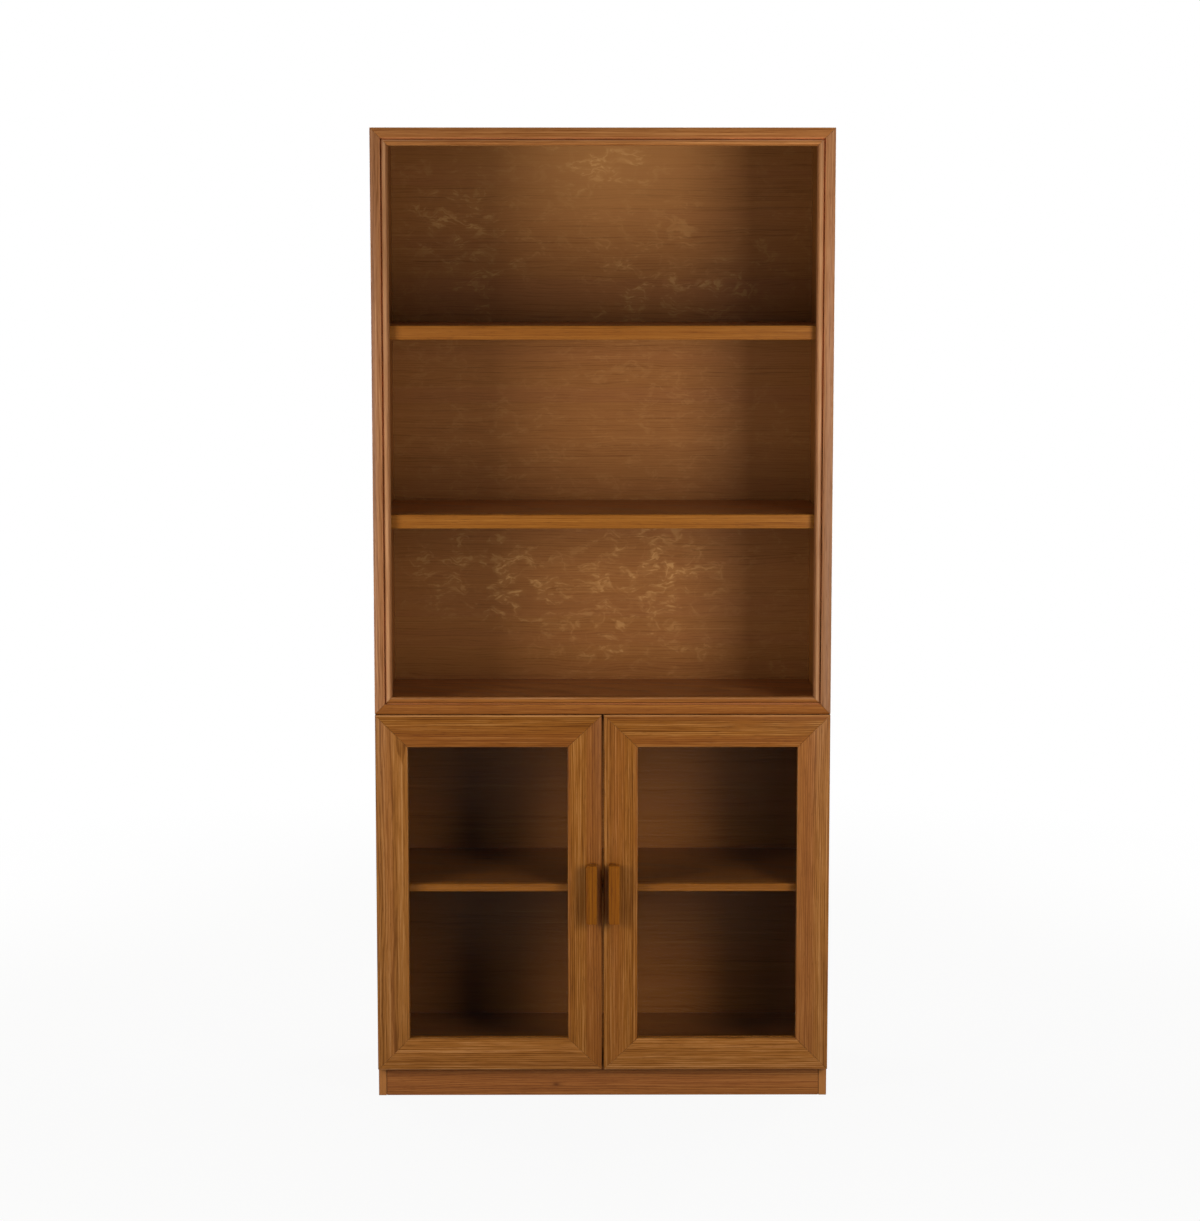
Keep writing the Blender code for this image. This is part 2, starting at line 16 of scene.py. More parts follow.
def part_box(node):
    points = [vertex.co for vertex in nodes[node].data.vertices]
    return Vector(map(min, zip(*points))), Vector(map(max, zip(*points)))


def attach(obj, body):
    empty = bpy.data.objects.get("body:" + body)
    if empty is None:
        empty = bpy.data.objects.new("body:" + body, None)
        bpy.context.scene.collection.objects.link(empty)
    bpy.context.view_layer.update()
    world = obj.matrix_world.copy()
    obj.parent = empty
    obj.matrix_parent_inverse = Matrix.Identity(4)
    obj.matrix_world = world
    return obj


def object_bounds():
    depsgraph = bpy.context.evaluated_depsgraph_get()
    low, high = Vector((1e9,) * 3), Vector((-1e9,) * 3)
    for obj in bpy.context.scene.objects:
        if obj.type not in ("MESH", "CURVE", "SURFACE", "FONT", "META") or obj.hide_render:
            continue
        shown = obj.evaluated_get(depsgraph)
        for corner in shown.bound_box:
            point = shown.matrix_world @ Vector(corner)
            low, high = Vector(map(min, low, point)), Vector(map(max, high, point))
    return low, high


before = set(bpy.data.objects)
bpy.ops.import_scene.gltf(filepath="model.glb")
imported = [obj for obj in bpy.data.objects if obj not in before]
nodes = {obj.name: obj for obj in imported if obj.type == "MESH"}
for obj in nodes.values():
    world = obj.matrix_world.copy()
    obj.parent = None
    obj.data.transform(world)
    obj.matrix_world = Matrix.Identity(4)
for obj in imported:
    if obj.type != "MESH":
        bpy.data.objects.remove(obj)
cad_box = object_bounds()
scene = bpy.context.scene
scene.view_settings.view_transform = "Standard"
print("Solids loaded:", len(nodes))

# %% [markdown]
# ## The camera
# The picture was taken from straight in front, at the height of the top compartment, with a long lens.
# A shifted lens could keep all uprights parallel, but that shift would also push the bookcase out of
# every other view. So the camera looks down a little, and its shift stays small.

# %% Camera
EYE_HEIGHT = 1.69
EYE_DISTANCE = 5.40
EYE_X = -0.030
AIM_X = -0.0055
AIM_TILT = math.radians(6.50)
LENS_MM = 80.4
SENSOR_MM = 36.0
VIEW_SHIFT = -0.030

frame_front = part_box("hutch_frame_top")[0].y
eye = Vector((EYE_X, frame_front - EYE_DISTANCE, EYE_HEIGHT))
aim = Vector((AIM_X, frame_front, EYE_HEIGHT - EYE_DISTANCE * math.tan(AIM_TILT)))


def look_at(thing, place, target):
    """Put a camera or lamp in place, with its -Z pointing at the target."""
    thing.location = place
    thing.rotation_mode = "QUATERNION"
    thing.rotation_quaternion = (target - place).to_track_quat("-Z", "Y")


camera_data = bpy.data.cameras.new("long_lens")
camera_data.lens = LENS_MM
camera_data.sensor_width = SENSOR_MM
camera_data.shift_y = VIEW_SHIFT
camera = bpy.data.objects.new("camera", camera_data)
scene.collection.objects.link(camera)
look_at(camera, eye, aim)
scene.camera = camera
print("Camera at", [round(value, 3) for value in eye])

# %% [markdown]
# ## A short way to write nodes
# Node set-ups get long when every link takes a line. `Wiring` adds a node, sets what is a plain value
# and links what is a socket, so that a finish reads like a recipe. The same class works inside a
# material and inside a node group.

# %% Wiring helper
# A Mix node has sockets for numbers, vectors and colours side by side. These are its colour sockets.
MIX_COLOURS = (6, 7)
MIX_RESULT = 2


class Wiring:
    """Adds nodes to one node tree and joins them."""

    def __init__(self, tree):
        self.tree = tree

    def join(self, value, socket):
        """Link a socket to a socket, or set a plain value on it."""
        if isinstance(value, bpy.types.NodeSocket):
            self.tree.links.new(value, socket)
        else:
            socket.default_value = value

    def node(self, kind, inputs=None, **settings):
        """Add a node with its settings and its inputs by name."""
        node = self.tree.nodes.new(kind)
        for label, value in settings.items():
            setattr(node, label, value)
        for label, value in (inputs or {}).items():
            self.join(value, node.inputs[label])
        return node

    def math(self, operation, *values, clamp=False):
        """One step of arithmetic."""
        node = self.node("ShaderNodeMath", operation=operation, use_clamp=clamp)
        for value, socket in zip(values, node.inputs):
            self.join(value, socket)
        return node.outputs[0]

    def vector(self, operation, *values, out="Vector"):
        """One step of vector arithmetic."""
        node = self.node("ShaderNodeVectorMath", operation=operation)
        for value, socket in zip(values, node.inputs):
            self.join(value, socket)
        return node.outputs[out]

    def noise(self, place, stretch=(1, 1, 1), detail=2.0, roughness=0.5, out="Fac"):
        """Soft noise, with so many lumps to the metre along each axis."""
        stretched = self.vector("MULTIPLY", place, stretch)
        inputs = {"Vector": stretched, "Scale": 1.0, "Detail": detail, "Roughness": roughness}
        return self.node("ShaderNodeTexNoise", inputs).outputs[out]

    def ramp(self, value, low, high, start=0.0, end=1.0):
        """A smooth step from start, at low, to end, at high."""
        node = self.node("ShaderNodeMapRange", interpolation_type="SMOOTHSTEP")
        for number, socket in zip((value, low, high, start, end), node.inputs):
            self.join(number, socket)
        return node.outputs[0]

    def blend(self, factor, first, second, how="MIX"):
        """Two colours, mixed."""
        node = self.node("ShaderNodeMix", data_type="RGBA", blend_type=how)
        self.join(factor, node.inputs["Factor"])
        for colour, socket in zip((first, second), MIX_COLOURS):
            self.join(colour, node.inputs[socket])
        return node.outputs[MIX_RESULT]

    def total(self, start, *parts):
        """Start plus each part, where a part is (value, middle, weight)."""
        for value, middle, weight in parts:
            away = self.math("SUBTRACT", value, middle)
            start = self.math("MULTIPLY_ADD", away, weight, start)
        return start


# %% New groups and colours
SOCKETS = {"value": "NodeSocketFloat", "vector": "NodeSocketVector", "colour": "NodeSocketColor"}


def new_group(name, inputs, outputs):
    """A shader node group with named sockets: its tree, what it is given and what it puts out."""
    tree = bpy.data.node_groups.new(name, "ShaderNodeTree")
    for label, kind in inputs:
        tree.interface.new_socket(label, in_out="INPUT", socket_type=SOCKETS[kind])
    for label, kind in outputs:
        tree.interface.new_socket(label, in_out="OUTPUT", socket_type=SOCKETS[kind])
    given = tree.nodes.new("NodeGroupInput").outputs
    result = tree.nodes.new("NodeGroupOutput").inputs
    return tree, given, result


def stain(red, green, blue):
    """A colour as it is seen, 0 to 255, as the linear colour that a shader takes, by the sRGB curve."""
    linear = []
    for value in (red, green, blue):
        share = value / 255
        linear.append(share / 12.92 if share <= 0.04045 else ((share + 0.055) / 1.055) ** 2.4)
    return (*linear, 1.0)


# %% [markdown]
# ## Timber
# A board is a slice of a tree: growth rings round the pith, drawn out along the grain. If the rings are
# made in three dimensions and the solid cuts through them, then faces, edges and end grain agree.
# With the pith far to one side the face shows straight lines, as on the door members. With the pith
# just behind the face and leaning, the rings open into arches, as on a wide side panel.
# On top of the rings lie fine streaks, short flecks, broad changes of tone, glued strips and dark pores.
# Most of these are noises with so many lumps to the metre along the grain, across it and through it.
# Each piece has a number of its own, which takes it to another part of every noise.

# %% Timber group
PIECE_JUMP = (37.0, 11.0, 23.0)
PIECE_TURNS = 17.0
PIECE_STRIPS = 91.7
WAVE = (1.3, 3.0, 3.0)
RIPPLE = (7.0, 30.0, 30.0)
STREAK = (1.1, 125.0, 125.0)
PALE_STREAK = (1.6, 210.0, 210.0)
FLECK = (14.0, 460.0, 460.0)
BROAD = (0.9, 16.0, 16.0)
PORE = (48.0, 950.0, 950.0)
HUE = (0.7, 26.0, 26.0)
WAVE_DEPTH = 0.030
UNEVEN_SCALE = 0.37
UNEVEN_RINGS = 1.6
LATE_MEAN = 0.3
PALE_SHARE = 0.26
FLECK_SHARE = 0.80
RED_SHARE = 0.60
RED_DEPTH = 0.55
PORE_DEPTH = 0.65
VARNISH_ROUGHNESS = 0.34


def timber_group():
    """Rings, streaks, strips and pores along the first axis of the place that is given."""
    values = ["Piece", "Pith Across", "Pith Through", "Lean", "Curl", "Ring Width", "Ring Strength"]
    values += ["Streak Strength", "Broad Strength", "Strip Width", "Strip Strength", "Pore Strength"]
    inputs = [("Place", "vector")] + [(label, "value") for label in values]
    inputs += [(label, "colour") for label in ("Light", "Middle", "Dark", "Red")]
    outputs = [("Colour", "colour"), ("Roughness", "value"), ("Height", "value")]
    tree, given, result = new_group("timber", inputs, outputs)
    make = Wiring(tree)
    piece = given["Piece"]
    jump = make.vector("SCALE", PIECE_JUMP)
    make.join(piece, jump.node.inputs["Scale"])
    place = make.vector("ADD", given["Place"], jump)

    parts = make.node("ShaderNodeSeparateXYZ", {"Vector": given["Place"]}).outputs
    wave = make.noise(place, WAVE)
    ripple = make.noise(place, RIPPLE)
    bend = make.total(0.0, (wave, 0.5, WAVE_DEPTH), (ripple, 0.5, given["Curl"]))
    across = make.math("ADD", make.math("ADD", parts["Y"], given["Pith Across"]), bend)
    lean = make.math("MULTIPLY_ADD", parts["X"], given["Lean"], given["Pith Through"])
    through = make.math("ADD", make.math("ADD", parts["Z"], lean), bend)
    radius = make.math("SQRT", make.math("MULTIPLY_ADD", across, across, make.math("POWER", through, 2.0)))
    turns = make.math("MULTIPLY_ADD", piece, PIECE_TURNS, make.math("DIVIDE", radius, given["Ring Width"]))
    years = {"W": turns, "Scale": UNEVEN_SCALE, "Detail": 2.0}
    spread = make.node("ShaderNodeTexNoise", years, noise_dimensions="1D").outputs["Fac"]
    ring = make.math("FRACT", make.math("MULTIPLY_ADD", spread, UNEVEN_RINGS, turns))
    late = make.math("MULTIPLY", make.ramp(ring, 0.30, 0.86), make.ramp(ring, 1.0, 0.90))

    streak = make.noise(place, STREAK, detail=5.0, roughness=0.70)
    pale = make.ramp(make.noise(place, PALE_STREAK), 0.56, 0.70)
    fleck = make.noise(place, FLECK)
    broad = make.noise(place, BROAD)
    pore = make.ramp(make.noise(place, PORE, detail=1.0), 0.60, 0.74)
    number = make.math("FLOOR", make.math("DIVIDE", parts["Y"], given["Strip Width"]))
    key = make.math("MULTIPLY_ADD", piece, PIECE_STRIPS, number)
    strip = make.node("ShaderNodeTexWhiteNoise", {"W": key}, noise_dimensions="1D").outputs["Value"]
    hue = make.noise(place, HUE, detail=1.0)

    tone = make.total(
        0.5,
        (late, LATE_MEAN, make.math("MULTIPLY", given["Ring Strength"], -1.0)),
        (streak, 0.5, given["Streak Strength"]),
        (pale, 0.15, make.math("MULTIPLY", given["Streak Strength"], PALE_SHARE)),
        (fleck, 0.5, make.math("MULTIPLY", given["Streak Strength"], FLECK_SHARE)),
        (broad, 0.5, given["Broad Strength"]),
        (strip, 0.5, given["Strip Strength"]),
    )
    colour = make.blend(make.ramp(tone, 0.0, 0.5), given["Dark"], given["Middle"])
    colour = make.blend(make.ramp(tone, 0.5, 1.0), colour, given["Light"])
    warmth = make.total(0.5, (hue, 0.5, 1.0), (strip, 0.5, -0.5))
    reddish = make.math("MULTIPLY", make.ramp(warmth, 0.4, 0.75), RED_SHARE)
    colour = make.blend(reddish, colour, make.blend(RED_DEPTH, colour, given["Red"]))
    sunk = make.math("MULTIPLY", pore, given["Pore Strength"])
    colour = make.blend(sunk, colour, make.blend(PORE_DEPTH, colour, given["Dark"], "MULTIPLY"))
    make.join(colour, result["Colour"])
    uneven_gloss = ((streak, 0.5, 0.20), (pore, 0.0, 0.20), (late, LATE_MEAN, -0.05))
    make.join(make.total(VARNISH_ROUGHNESS, *uneven_gloss), result["Roughness"])
    hills = ((streak, 0.5, 0.5), (pore, 0.0, -0.6), (late, LATE_MEAN, 0.15))
    make.join(make.total(0.5, *hills), result["Height"])
    return tree


TIMBER = timber_group()
print("Group made:", TIMBER.name, "with", len(TIMBER.nodes), "nodes")

# %% [markdown]
# ## Rubbed edges
# Stain wears off the edges that hands and cloths touch. The Bevel node gives the normal that a rounded
# edge would have, and where that leaves the real normal there is an edge. Noise breaks the line up.

# %% Rubbed edge group
EDGE_TURN = (0.99, 0.82)
RUB_PATCHES = (40.0, 40.0, 40.0)
RUB_BREAKS = (0.35, 0.65)


def rubbed_edge_group():
    """A mask that is 1 on rubbed edges."""
    inputs = [("Place", "vector"), ("Width", "value")]
    tree, given, result = new_group("rubbed_edge", inputs, [("Mask", "value")])
    make = Wiring(tree)
    rounded = make.node("ShaderNodeBevel", {"Radius": given["Width"]}, samples=4).outputs["Normal"]
    flat = make.node("ShaderNodeNewGeometry").outputs["Normal"]
    edge = make.ramp(make.vector("DOT_PRODUCT", rounded, flat, out="Value"), *EDGE_TURN)
    patch = make.ramp(make.noise(given["Place"], RUB_PATCHES, detail=3.0), *RUB_BREAKS)
    make.join(make.math("MULTIPLY", edge, patch), result["Mask"])
    return tree


RUBBED_EDGE = rubbed_edge_group()
print("Group made:", RUBBED_EDGE.name)

# %% [markdown]
# ## Figure in the veneer
# The hutch's back is a stained veneer with a curly figure: thin pale wisps in loose patches over fine
# level grain. Fine stretched noise gives hairs, and pushing its coordinates about with slow noise makes
# them curl. A second noise gathers the hairs into clumps, contour lines of a third add a few long
# strokes, and a fourth keeps all of them in patches.

# %% Veneer figure group
PUSH = (18.0, 24.0, 24.0)
PUSH_REACH = (0.055, 0.050, 0.0)
HAIR = (62.0, 165.0, 1.0)
CLUMP = (22.0, 40.0, 1.0)
FIELD = (9.0, 15.0, 1.0)
PATCH = (3.6, 5.2, 1.0)
CONTOURS = 5.0
CONTOUR_HALF = 0.10
HAZE = 0.20


def veneer_figure_group():
    """Pale wisps along the first axis: a mask."""
    tree, given, result = new_group("veneer_figure", [("Place", "vector")], [("Mask", "value")])
    make = Wiring(tree)
    place = given["Place"]
    push = make.noise(place, PUSH, detail=3.0, out="Color")
    push = make.vector("SUBTRACT", push, (0.5, 0.5, 0.5))
    warped = make.vector("MULTIPLY_ADD", push, PUSH_REACH, place)
    hair = make.ramp(make.noise(warped, HAIR), 0.48, 0.66)
    clump = make.ramp(make.noise(warped, CLUMP, detail=3.0), 0.44, 0.64)
    field = make.noise(warped, FIELD)
    level = make.math("FRACT", make.math("MULTIPLY", field, CONTOURS))
    curve = make.ramp(make.math("ABSOLUTE", make.math("SUBTRACT", level, 0.5)), CONTOUR_HALF, 0.0)
    stroke = make.math("MULTIPLY", curve, make.ramp(clump, 0.0, 0.6, start=0.12, end=0.7))
    patch = make.ramp(make.noise(place, PATCH), 0.30, 0.52)
    haze = make.math("MULTIPLY", clump, HAZE)
    wisps = make.math("ADD", make.math("MAXIMUM", make.math("MULTIPLY", hair, clump), stroke), haze)
    make.join(make.math("MULTIPLY", wisps, patch), result["Mask"])
    return tree


VENEER_FIGURE = veneer_figure_group()
print("Group made:", VENEER_FIGURE.name)

# %% [markdown]
# ## Grain that runs the right way
# Grain follows the length of a piece: up the sides and stiles, along the rails and shelves. A solid's
# own coordinates are the bookcase's coordinates at rest, so swapping axes is all that it takes.
# The three letters name the axis along the grain, the axis across the face and the axis through it.

# %% Timber finish
def new_material(name):
    """An empty material with a Principled shader: the wiring, the shader and the output node."""
    material = bpy.data.materials.new(name)
    material.use_nodes = True
    make = Wiring(material.node_tree)
    shader = material.node_tree.nodes["Principled BSDF"]
    output = material.node_tree.nodes["Material Output"]
    return material, make, shader, output


def grain_place(make, axes):
    """The bookcase's own coordinates, put in the order along, across, through."""
    coordinates = make.node("ShaderNodeTexCoord").outputs["Object"]
    parts = make.node("ShaderNodeSeparateXYZ", {"Vector": coordinates}).outputs
    along, across, through = axes
    ordered = {"X": parts[along], "Y": parts[across], "Z": parts[through]}
    return make.node("ShaderNodeCombineXYZ", ordered).outputs["Vector"]


STRAIGHT_GRAIN = {
    "Pith Across": 0.40, "Pith Through": 0.10, "Lean": 0.004, "Curl": 0.004, "Ring Width": 0.0042,
    "Ring Strength": 0.40, "Streak Strength": 1.60, "Broad Strength": 0.35, "Strip Width": 0.0325,
    "Strip Strength": 0.20, "Pore Strength": 0.55,
}
RUB_WIDTH = 0.0016
GRAIN_DEPTH = 0.00025
GRAIN_BUMP = 0.35
VARNISH_SPECULAR = 0.11


def timber_finish(name, axes, colours, rub=0.50, detail=None, **changes):
    """Stained and varnished timber; colours are light, middle, dark and red, as they are seen."""
    material, make, shader, _ = new_material(name)
    place = grain_place(make, axes)
    timber = make.node("ShaderNodeGroup", node_tree=TIMBER)
    make.join(place, timber.inputs["Place"])
    make.join(make.node("ShaderNodeObjectInfo").outputs["Random"], timber.inputs["Piece"])
    for label, value in {**STRAIGHT_GRAIN, **changes}.items():
        timber.inputs[label].default_value = value
    for label, colour in zip(("Light", "Middle", "Dark", "Red"), colours):
        timber.inputs[label].default_value = stain(*colour)
    colour = timber.outputs["Colour"]
    if detail:
        colour = detail(make, place, colour)
    edge = make.node("ShaderNodeGroup", node_tree=RUBBED_EDGE)
    make.join(place, edge.inputs["Place"])
    edge.inputs["Width"].default_value = RUB_WIDTH
    worn = make.math("MULTIPLY", edge.outputs["Mask"], rub)
    make.join(make.blend(worn, colour, timber.inputs["Light"].default_value), shader.inputs["Base Color"])
    make.join(timber.outputs["Roughness"], shader.inputs["Roughness"])
    shader.inputs["Specular IOR Level"].default_value = VARNISH_SPECULAR
    bump = make.node("ShaderNodeBump", {"Strength": GRAIN_BUMP, "Distance": GRAIN_DEPTH})
    make.join(timber.outputs["Height"], bump.inputs["Height"])
    make.join(bump.outputs["Normal"], shader.inputs["Normal"])
    return material


# %% [markdown]
# ## Details of single boards
# Some boards have something of their own. The hutch's back has the wisps, gathered in a few places of
# the top and bottom compartments, and a paler cloud of painted light near its top. A place is its middle,
# how far it reaches across and up, and how strong it is. Both backs are plain behind, where only the wall
# sees them, and the cabinet's back has a darker cloud of painted shade. The plinth has a small knot. The
# sides are veneered, so their front edges carry a strip of paler solid timber. The face frame's bead and
# the doors' top edges carry pale lines of painted highlight, and the frame's groove is painted lighter and
# redder against the shade that falls in it. Two of the frame's members carry painted light and shade that
# changes along their length.
# Each detail changes the timber's colour on its way to the shader.

# %% Where a detail lies
# How squarely a face looks to the front or the back where a detail begins, and where it is full.
SLANTED = 0.6
SQUARE = 0.9


def round_patch(make, place, centre, reach):
    """1 at a centre, falling to 0 at its reach along each axis."""
    away = make.vector("DIVIDE", make.vector("SUBTRACT", place, centre), reach)
    return make.ramp(make.vector("LENGTH", away, out="Value"), 1.0, 0.0)


def facing_back(make):
    """From -1 on faces towards the front to 1 on faces towards the back."""
    normal = make.node("ShaderNodeNewGeometry").outputs["Normal"]
    return make.node("ShaderNodeSeparateXYZ", {"Vector": normal}).outputs["Y"]


# %% Details of the backs
PLAIN_REAR = (112, 76, 45)
REAR_SHARE = 0.55
WISP = (190, 142, 86)
WISP_STRENGTH = 0.70
STRAY_WISPS = 0.20
WISP_PLACES = [
    (-0.31, 1.76, 0.22, 0.17, 0.80),
    (-0.08, 1.64, 0.38, 0.17, 1.00),
    (0.22, 1.68, 0.25, 0.20, 0.75),
    (0.00, 1.90, 0.18, 0.11, 1.00),
    (-0.22, 1.02, 0.34, 0.19, 1.00),
    (0.09, 1.03, 0.28, 0.20, 1.00),
    (0.05, 0.89, 0.36, 0.13, 0.75),
]
# Painted light: a paler cloud near the top of the hutch's back, where more light falls.
PAINTED_LIGHT_COLOUR = (166, 116, 66)
PAINTED_LIGHT_PLACE = (0.0, 1.93, 0.40, 0.26, 0.75)
# Painted shade: a darker cloud on the cabinet's back, where shade falls inside the cabinet.
PAINTED_SHADE_COLOUR = (40, 22, 12)
PAINTED_SHADE_PLACE = (-0.15, 0.42, 0.22, 0.90, 0.30)
BACK_DEPTH = 0.20
PATCH_DEPTH = 1.0


def back_patch(make, place, patch):
    """A soft patch on a back: its middle, its reach across and up, and how strong it is."""
    across, up, reach_across, reach_up, weight = patch
    spot = round_patch(make, place, (across, up, BACK_DEPTH), (reach_across, reach_up, PATCH_DEPTH))
    return make.math("MULTIPLY", spot, weight)


def plain_behind(make, place, colour):
    """A plain backing on the side towards the wall."""
    behind = make.ramp(facing_back(make), SLANTED, SQUARE, end=REAR_SHARE)
    return make.blend(behind, colour, stain(*PLAIN_REAR))


def figured_and_painted_light(make, place, colour):
    """Wisps, a paler cloud of painted light near the top of the front of the hutch's back, and a plain
    backing behind.
    """
    colour = make.blend(back_patch(make, place, PAINTED_LIGHT_PLACE), colour, stain(*PAINTED_LIGHT_COLOUR))
    wisps = make.node("ShaderNodeGroup", node_tree=VENEER_FIGURE)
    make.join(place, wisps.inputs["Place"])
    share = STRAY_WISPS
    for patch in WISP_PLACES:
        share = make.math("MAXIMUM", share, back_patch(make, place, patch))
    in_front = make.ramp(facing_back(make), SQUARE, SLANTED, end=WISP_STRENGTH)
    strength = make.math("MULTIPLY", share, in_front)
    colour = make.blend(make.math("MULTIPLY", wisps.outputs["Mask"], strength), colour, stain(*WISP))
    return plain_behind(make, place, colour)


def painted_shade_cloud(make, place, colour):
    """A darker cloud of painted shade on the cabinet's back, and a plain backing behind."""
    colour = make.blend(back_patch(make, place, PAINTED_SHADE_PLACE), colour, stain(*PAINTED_SHADE_COLOUR))
    return plain_behind(make, place, colour)


# %% Knot and lipping
KNOT = (84, 42, 18)
KNOT_PLACE = (-0.095, 0.0225, -0.15)
KNOT_HALO = (0.022, 0.010, 0.10)
KNOT_CORE = (0.010, 0.0055, 0.10)
HALO_SHARE = 0.35
CORE_SHARE = 0.45
SIDE_LIPPING = (173, 115, 62)
SIDE_LIPPING_SHARE = 0.80


def knotted(make, place, colour):
    """A small knot in a darker halo."""
    halo = round_patch(make, place, KNOT_PLACE, KNOT_HALO)
    core = round_patch(make, place, KNOT_PLACE, KNOT_CORE)
    dark = make.total(0.0, (halo, 0.0, HALO_SHARE), (core, 0.0, CORE_SHARE))
    return make.blend(dark, colour, stain(*KNOT))


def lipped(make, place, colour):
    """A paler strip on the edge that faces the front."""
    front = make.ramp(facing_back(make), -SLANTED, -SQUARE, end=SIDE_LIPPING_SHARE)
    return make.blend(front, colour, stain(*SIDE_LIPPING))


# %% Painted lines and tones of light
LINE_BREAKS = (9.0, 60.0, 60.0)
FAINTEST = 0.45
LINE_CORE = 0.3


def painted_line(line_at, half, most, tint, detail=None):
    """Another detail, if any, and then a broken painted line of light, a tint at one place across the
    grain.
    """
    def with_painted_line(make, place, colour):
        if detail:
            colour = detail(make, place, colour)
        across = make.node("ShaderNodeSeparateXYZ", {"Vector": place}).outputs["Y"]
        away = make.math("ABSOLUTE", make.math("SUBTRACT", make.math("ABSOLUTE", across), line_at))
        broken = make.ramp(make.noise(place, LINE_BREAKS), 0.3, 0.7, start=FAINTEST * most, end=most)
        share = make.math("MULTIPLY", make.ramp(away, half, LINE_CORE * half), broken)
        return make.blend(share, colour, stain(*tint))
    return with_painted_line


def painted_light_along(detail, first, last, start, end):
    """A detail, and then painted light and shade: a tone that changes along the grain from start, at
    first, to end, at last.
    """
    def with_painted_light(make, place, colour):
        along = make.node("ShaderNodeSeparateXYZ", {"Vector": place}).outputs["X"]
        tone = make.ramp(along, first, last, start=start, end=end)
        return make.blend(1.0, detail(make, place, colour), tone, "MULTIPLY")
    return with_painted_light


# %% [markdown]
# ## The timbers of this bookcase
# The whole bookcase is stained to a warm teak brown, but no two runs of timber took the stain alike.
# The hutch's face frame is a little paler and pinker than the doors, the shelf lippings are golden,
# the plinth is redder and the pulls are the deepest in colour. Each run is written as four colours:
# where it took the stain lightly, evenly and deeply, and where it turned red. Some runs also carry painted
# light and shade: the doors' top rails are painted darker and their bottom rails, the plinth and the pulls
# lighter, against the lamps' fall-off, and the boards and back inside the cabinet are painted darker, as
# shade for the dim inside of the cabinet.

# %% Stains, with painted light and shade
FRAME_STILE_COLOURS = ((180, 129, 86), (155, 104, 64), (124, 77, 40), (160, 101, 70))
FRAME_TOP_COLOURS = ((187, 128, 74), (162, 105, 55), (131, 76, 32), (165, 100, 60))
FRAME_BOTTOM_COLOURS = ((157, 101, 44), (133, 79, 29), (103, 55, 14), (136, 76, 35))
MEETING_STILE_COLOURS = ((163, 110, 55), (136, 83, 27), (98, 53, 9), (139, 79, 36))
HINGE_STILE_COLOURS = ((169, 118, 66), (145, 93, 40), (107, 62, 19), (146, 87, 47))
# Painted shade and light: the doors' top rails are a darker and their bottom rails a lighter copy of the
# stiles' stain, against the lamps' fall-off.
SHADED_DOOR_TOP_COLOURS = ((156, 106, 51), (131, 79, 24), (96, 52, 8), (133, 75, 33))
LIT_DOOR_BOTTOM_COLOURS = ((180, 125, 71), (150, 95, 39), (111, 63, 15), (150, 88, 45))
CASE_COLOURS = ((152, 101, 48), (130, 80, 34), (96, 53, 17), (132, 76, 38))
HUTCH_BOARD_COLOURS = ((188, 131, 75), (162, 106, 58), (121, 72, 34), (164, 100, 61))
# Painted shade: the boards inside the cabinet are a darker copy of the case's stain, for the dim inside of
# the cabinet.
SHADED_CABINET_BOARD_COLOURS = ((138, 90, 42), (117, 71, 30), (86, 47, 15), (119, 67, 33))
BACK_COLOURS = ((152, 103, 56), (138, 89, 45), (111, 67, 29), (138, 86, 49))
# Painted shade: the cabinet's back is a darker copy of the hutch's back, for the dim inside of the
# cabinet.
SHADED_CABINET_BACK_COLOURS = ((134, 88, 46), (121, 75, 36), (98, 57, 24), (122, 73, 40))
LIPPING_COLOURS = ((160, 104, 41), (142, 87, 29), (118, 66, 17), (145, 86, 36))
# The plinth and the pulls are also painted a little lighter than their stain, against the lamps' fall-off.
PLINTH_COLOURS = ((168, 114, 59), (149, 94, 43), (113, 66, 26), (152, 88, 48))
PULL_COLOURS = ((147, 90, 20), (130, 75, 8), (102, 53, 4), (129, 69, 14))

# %% Directions and cuts
UP_FACE = "ZXY"
ALONG_FACE = "XZY"
UP_SIDE = "ZYX"
ALONG_FLAT = "XYZ"
ARCHED = {
    "Pith Across": 0.02, "Pith Through": 0.07, "Lean": 0.035, "Ring Width": 0.0055, "Ring Strength": 0.30,
    "Strip Strength": 0.05,
}
VENEER = {
    "Pith Across": 0.30, "Lean": 0.01, "Curl": 0.016, "Ring Width": 0.0056, "Ring Strength": 0.22,
    "Streak Strength": 0.80, "Broad Strength": 0.30, "Strip Strength": 0.0, "Pore Strength": 0.25,
}
SMOOTH = {"Ring Strength": 0.24, "Streak Strength": 1.40, "Broad Strength": 0.50, "Strip Strength": 0.0}
# Rubbed edges on the face frame: wear, made stronger as a painted highlight.
RUBBED_AND_HIGHLIGHTED = {**SMOOTH, "rub": 0.80}

# %% Painted light and highlights on the frame and doors
# Painted light: the frame's groove is painted lighter and redder, against the shade that falls in it.
GROOVE_PAINTED_LIGHT = (216, 140, 90)
GROOVE_INSET = 0.0140
GROOVE_HALF = 0.0022
SIDE_GROOVE_SHARE = 0.9
TOP_GROOVE_SHARE = 0.6
BOTTOM_GROOVE_SHARE = 0.4
# Painted highlight: pale lines along the frame's bead, where light catches its round.
BEAD_HIGHLIGHT = (190, 140, 98)
BEAD_SHARE = 0.9
BOTTOM_BEAD_SHARE = 0.5
SIDE_BEAD_INSET = 0.0080
SIDE_BEAD_HALF = 0.0048
TOP_BEAD_INSET = 0.0108
TOP_BEAD_HALF = 0.0028
BOTTOM_BEAD_INSET = 0.0025
BOTTOM_BEAD_HALF = 0.0025
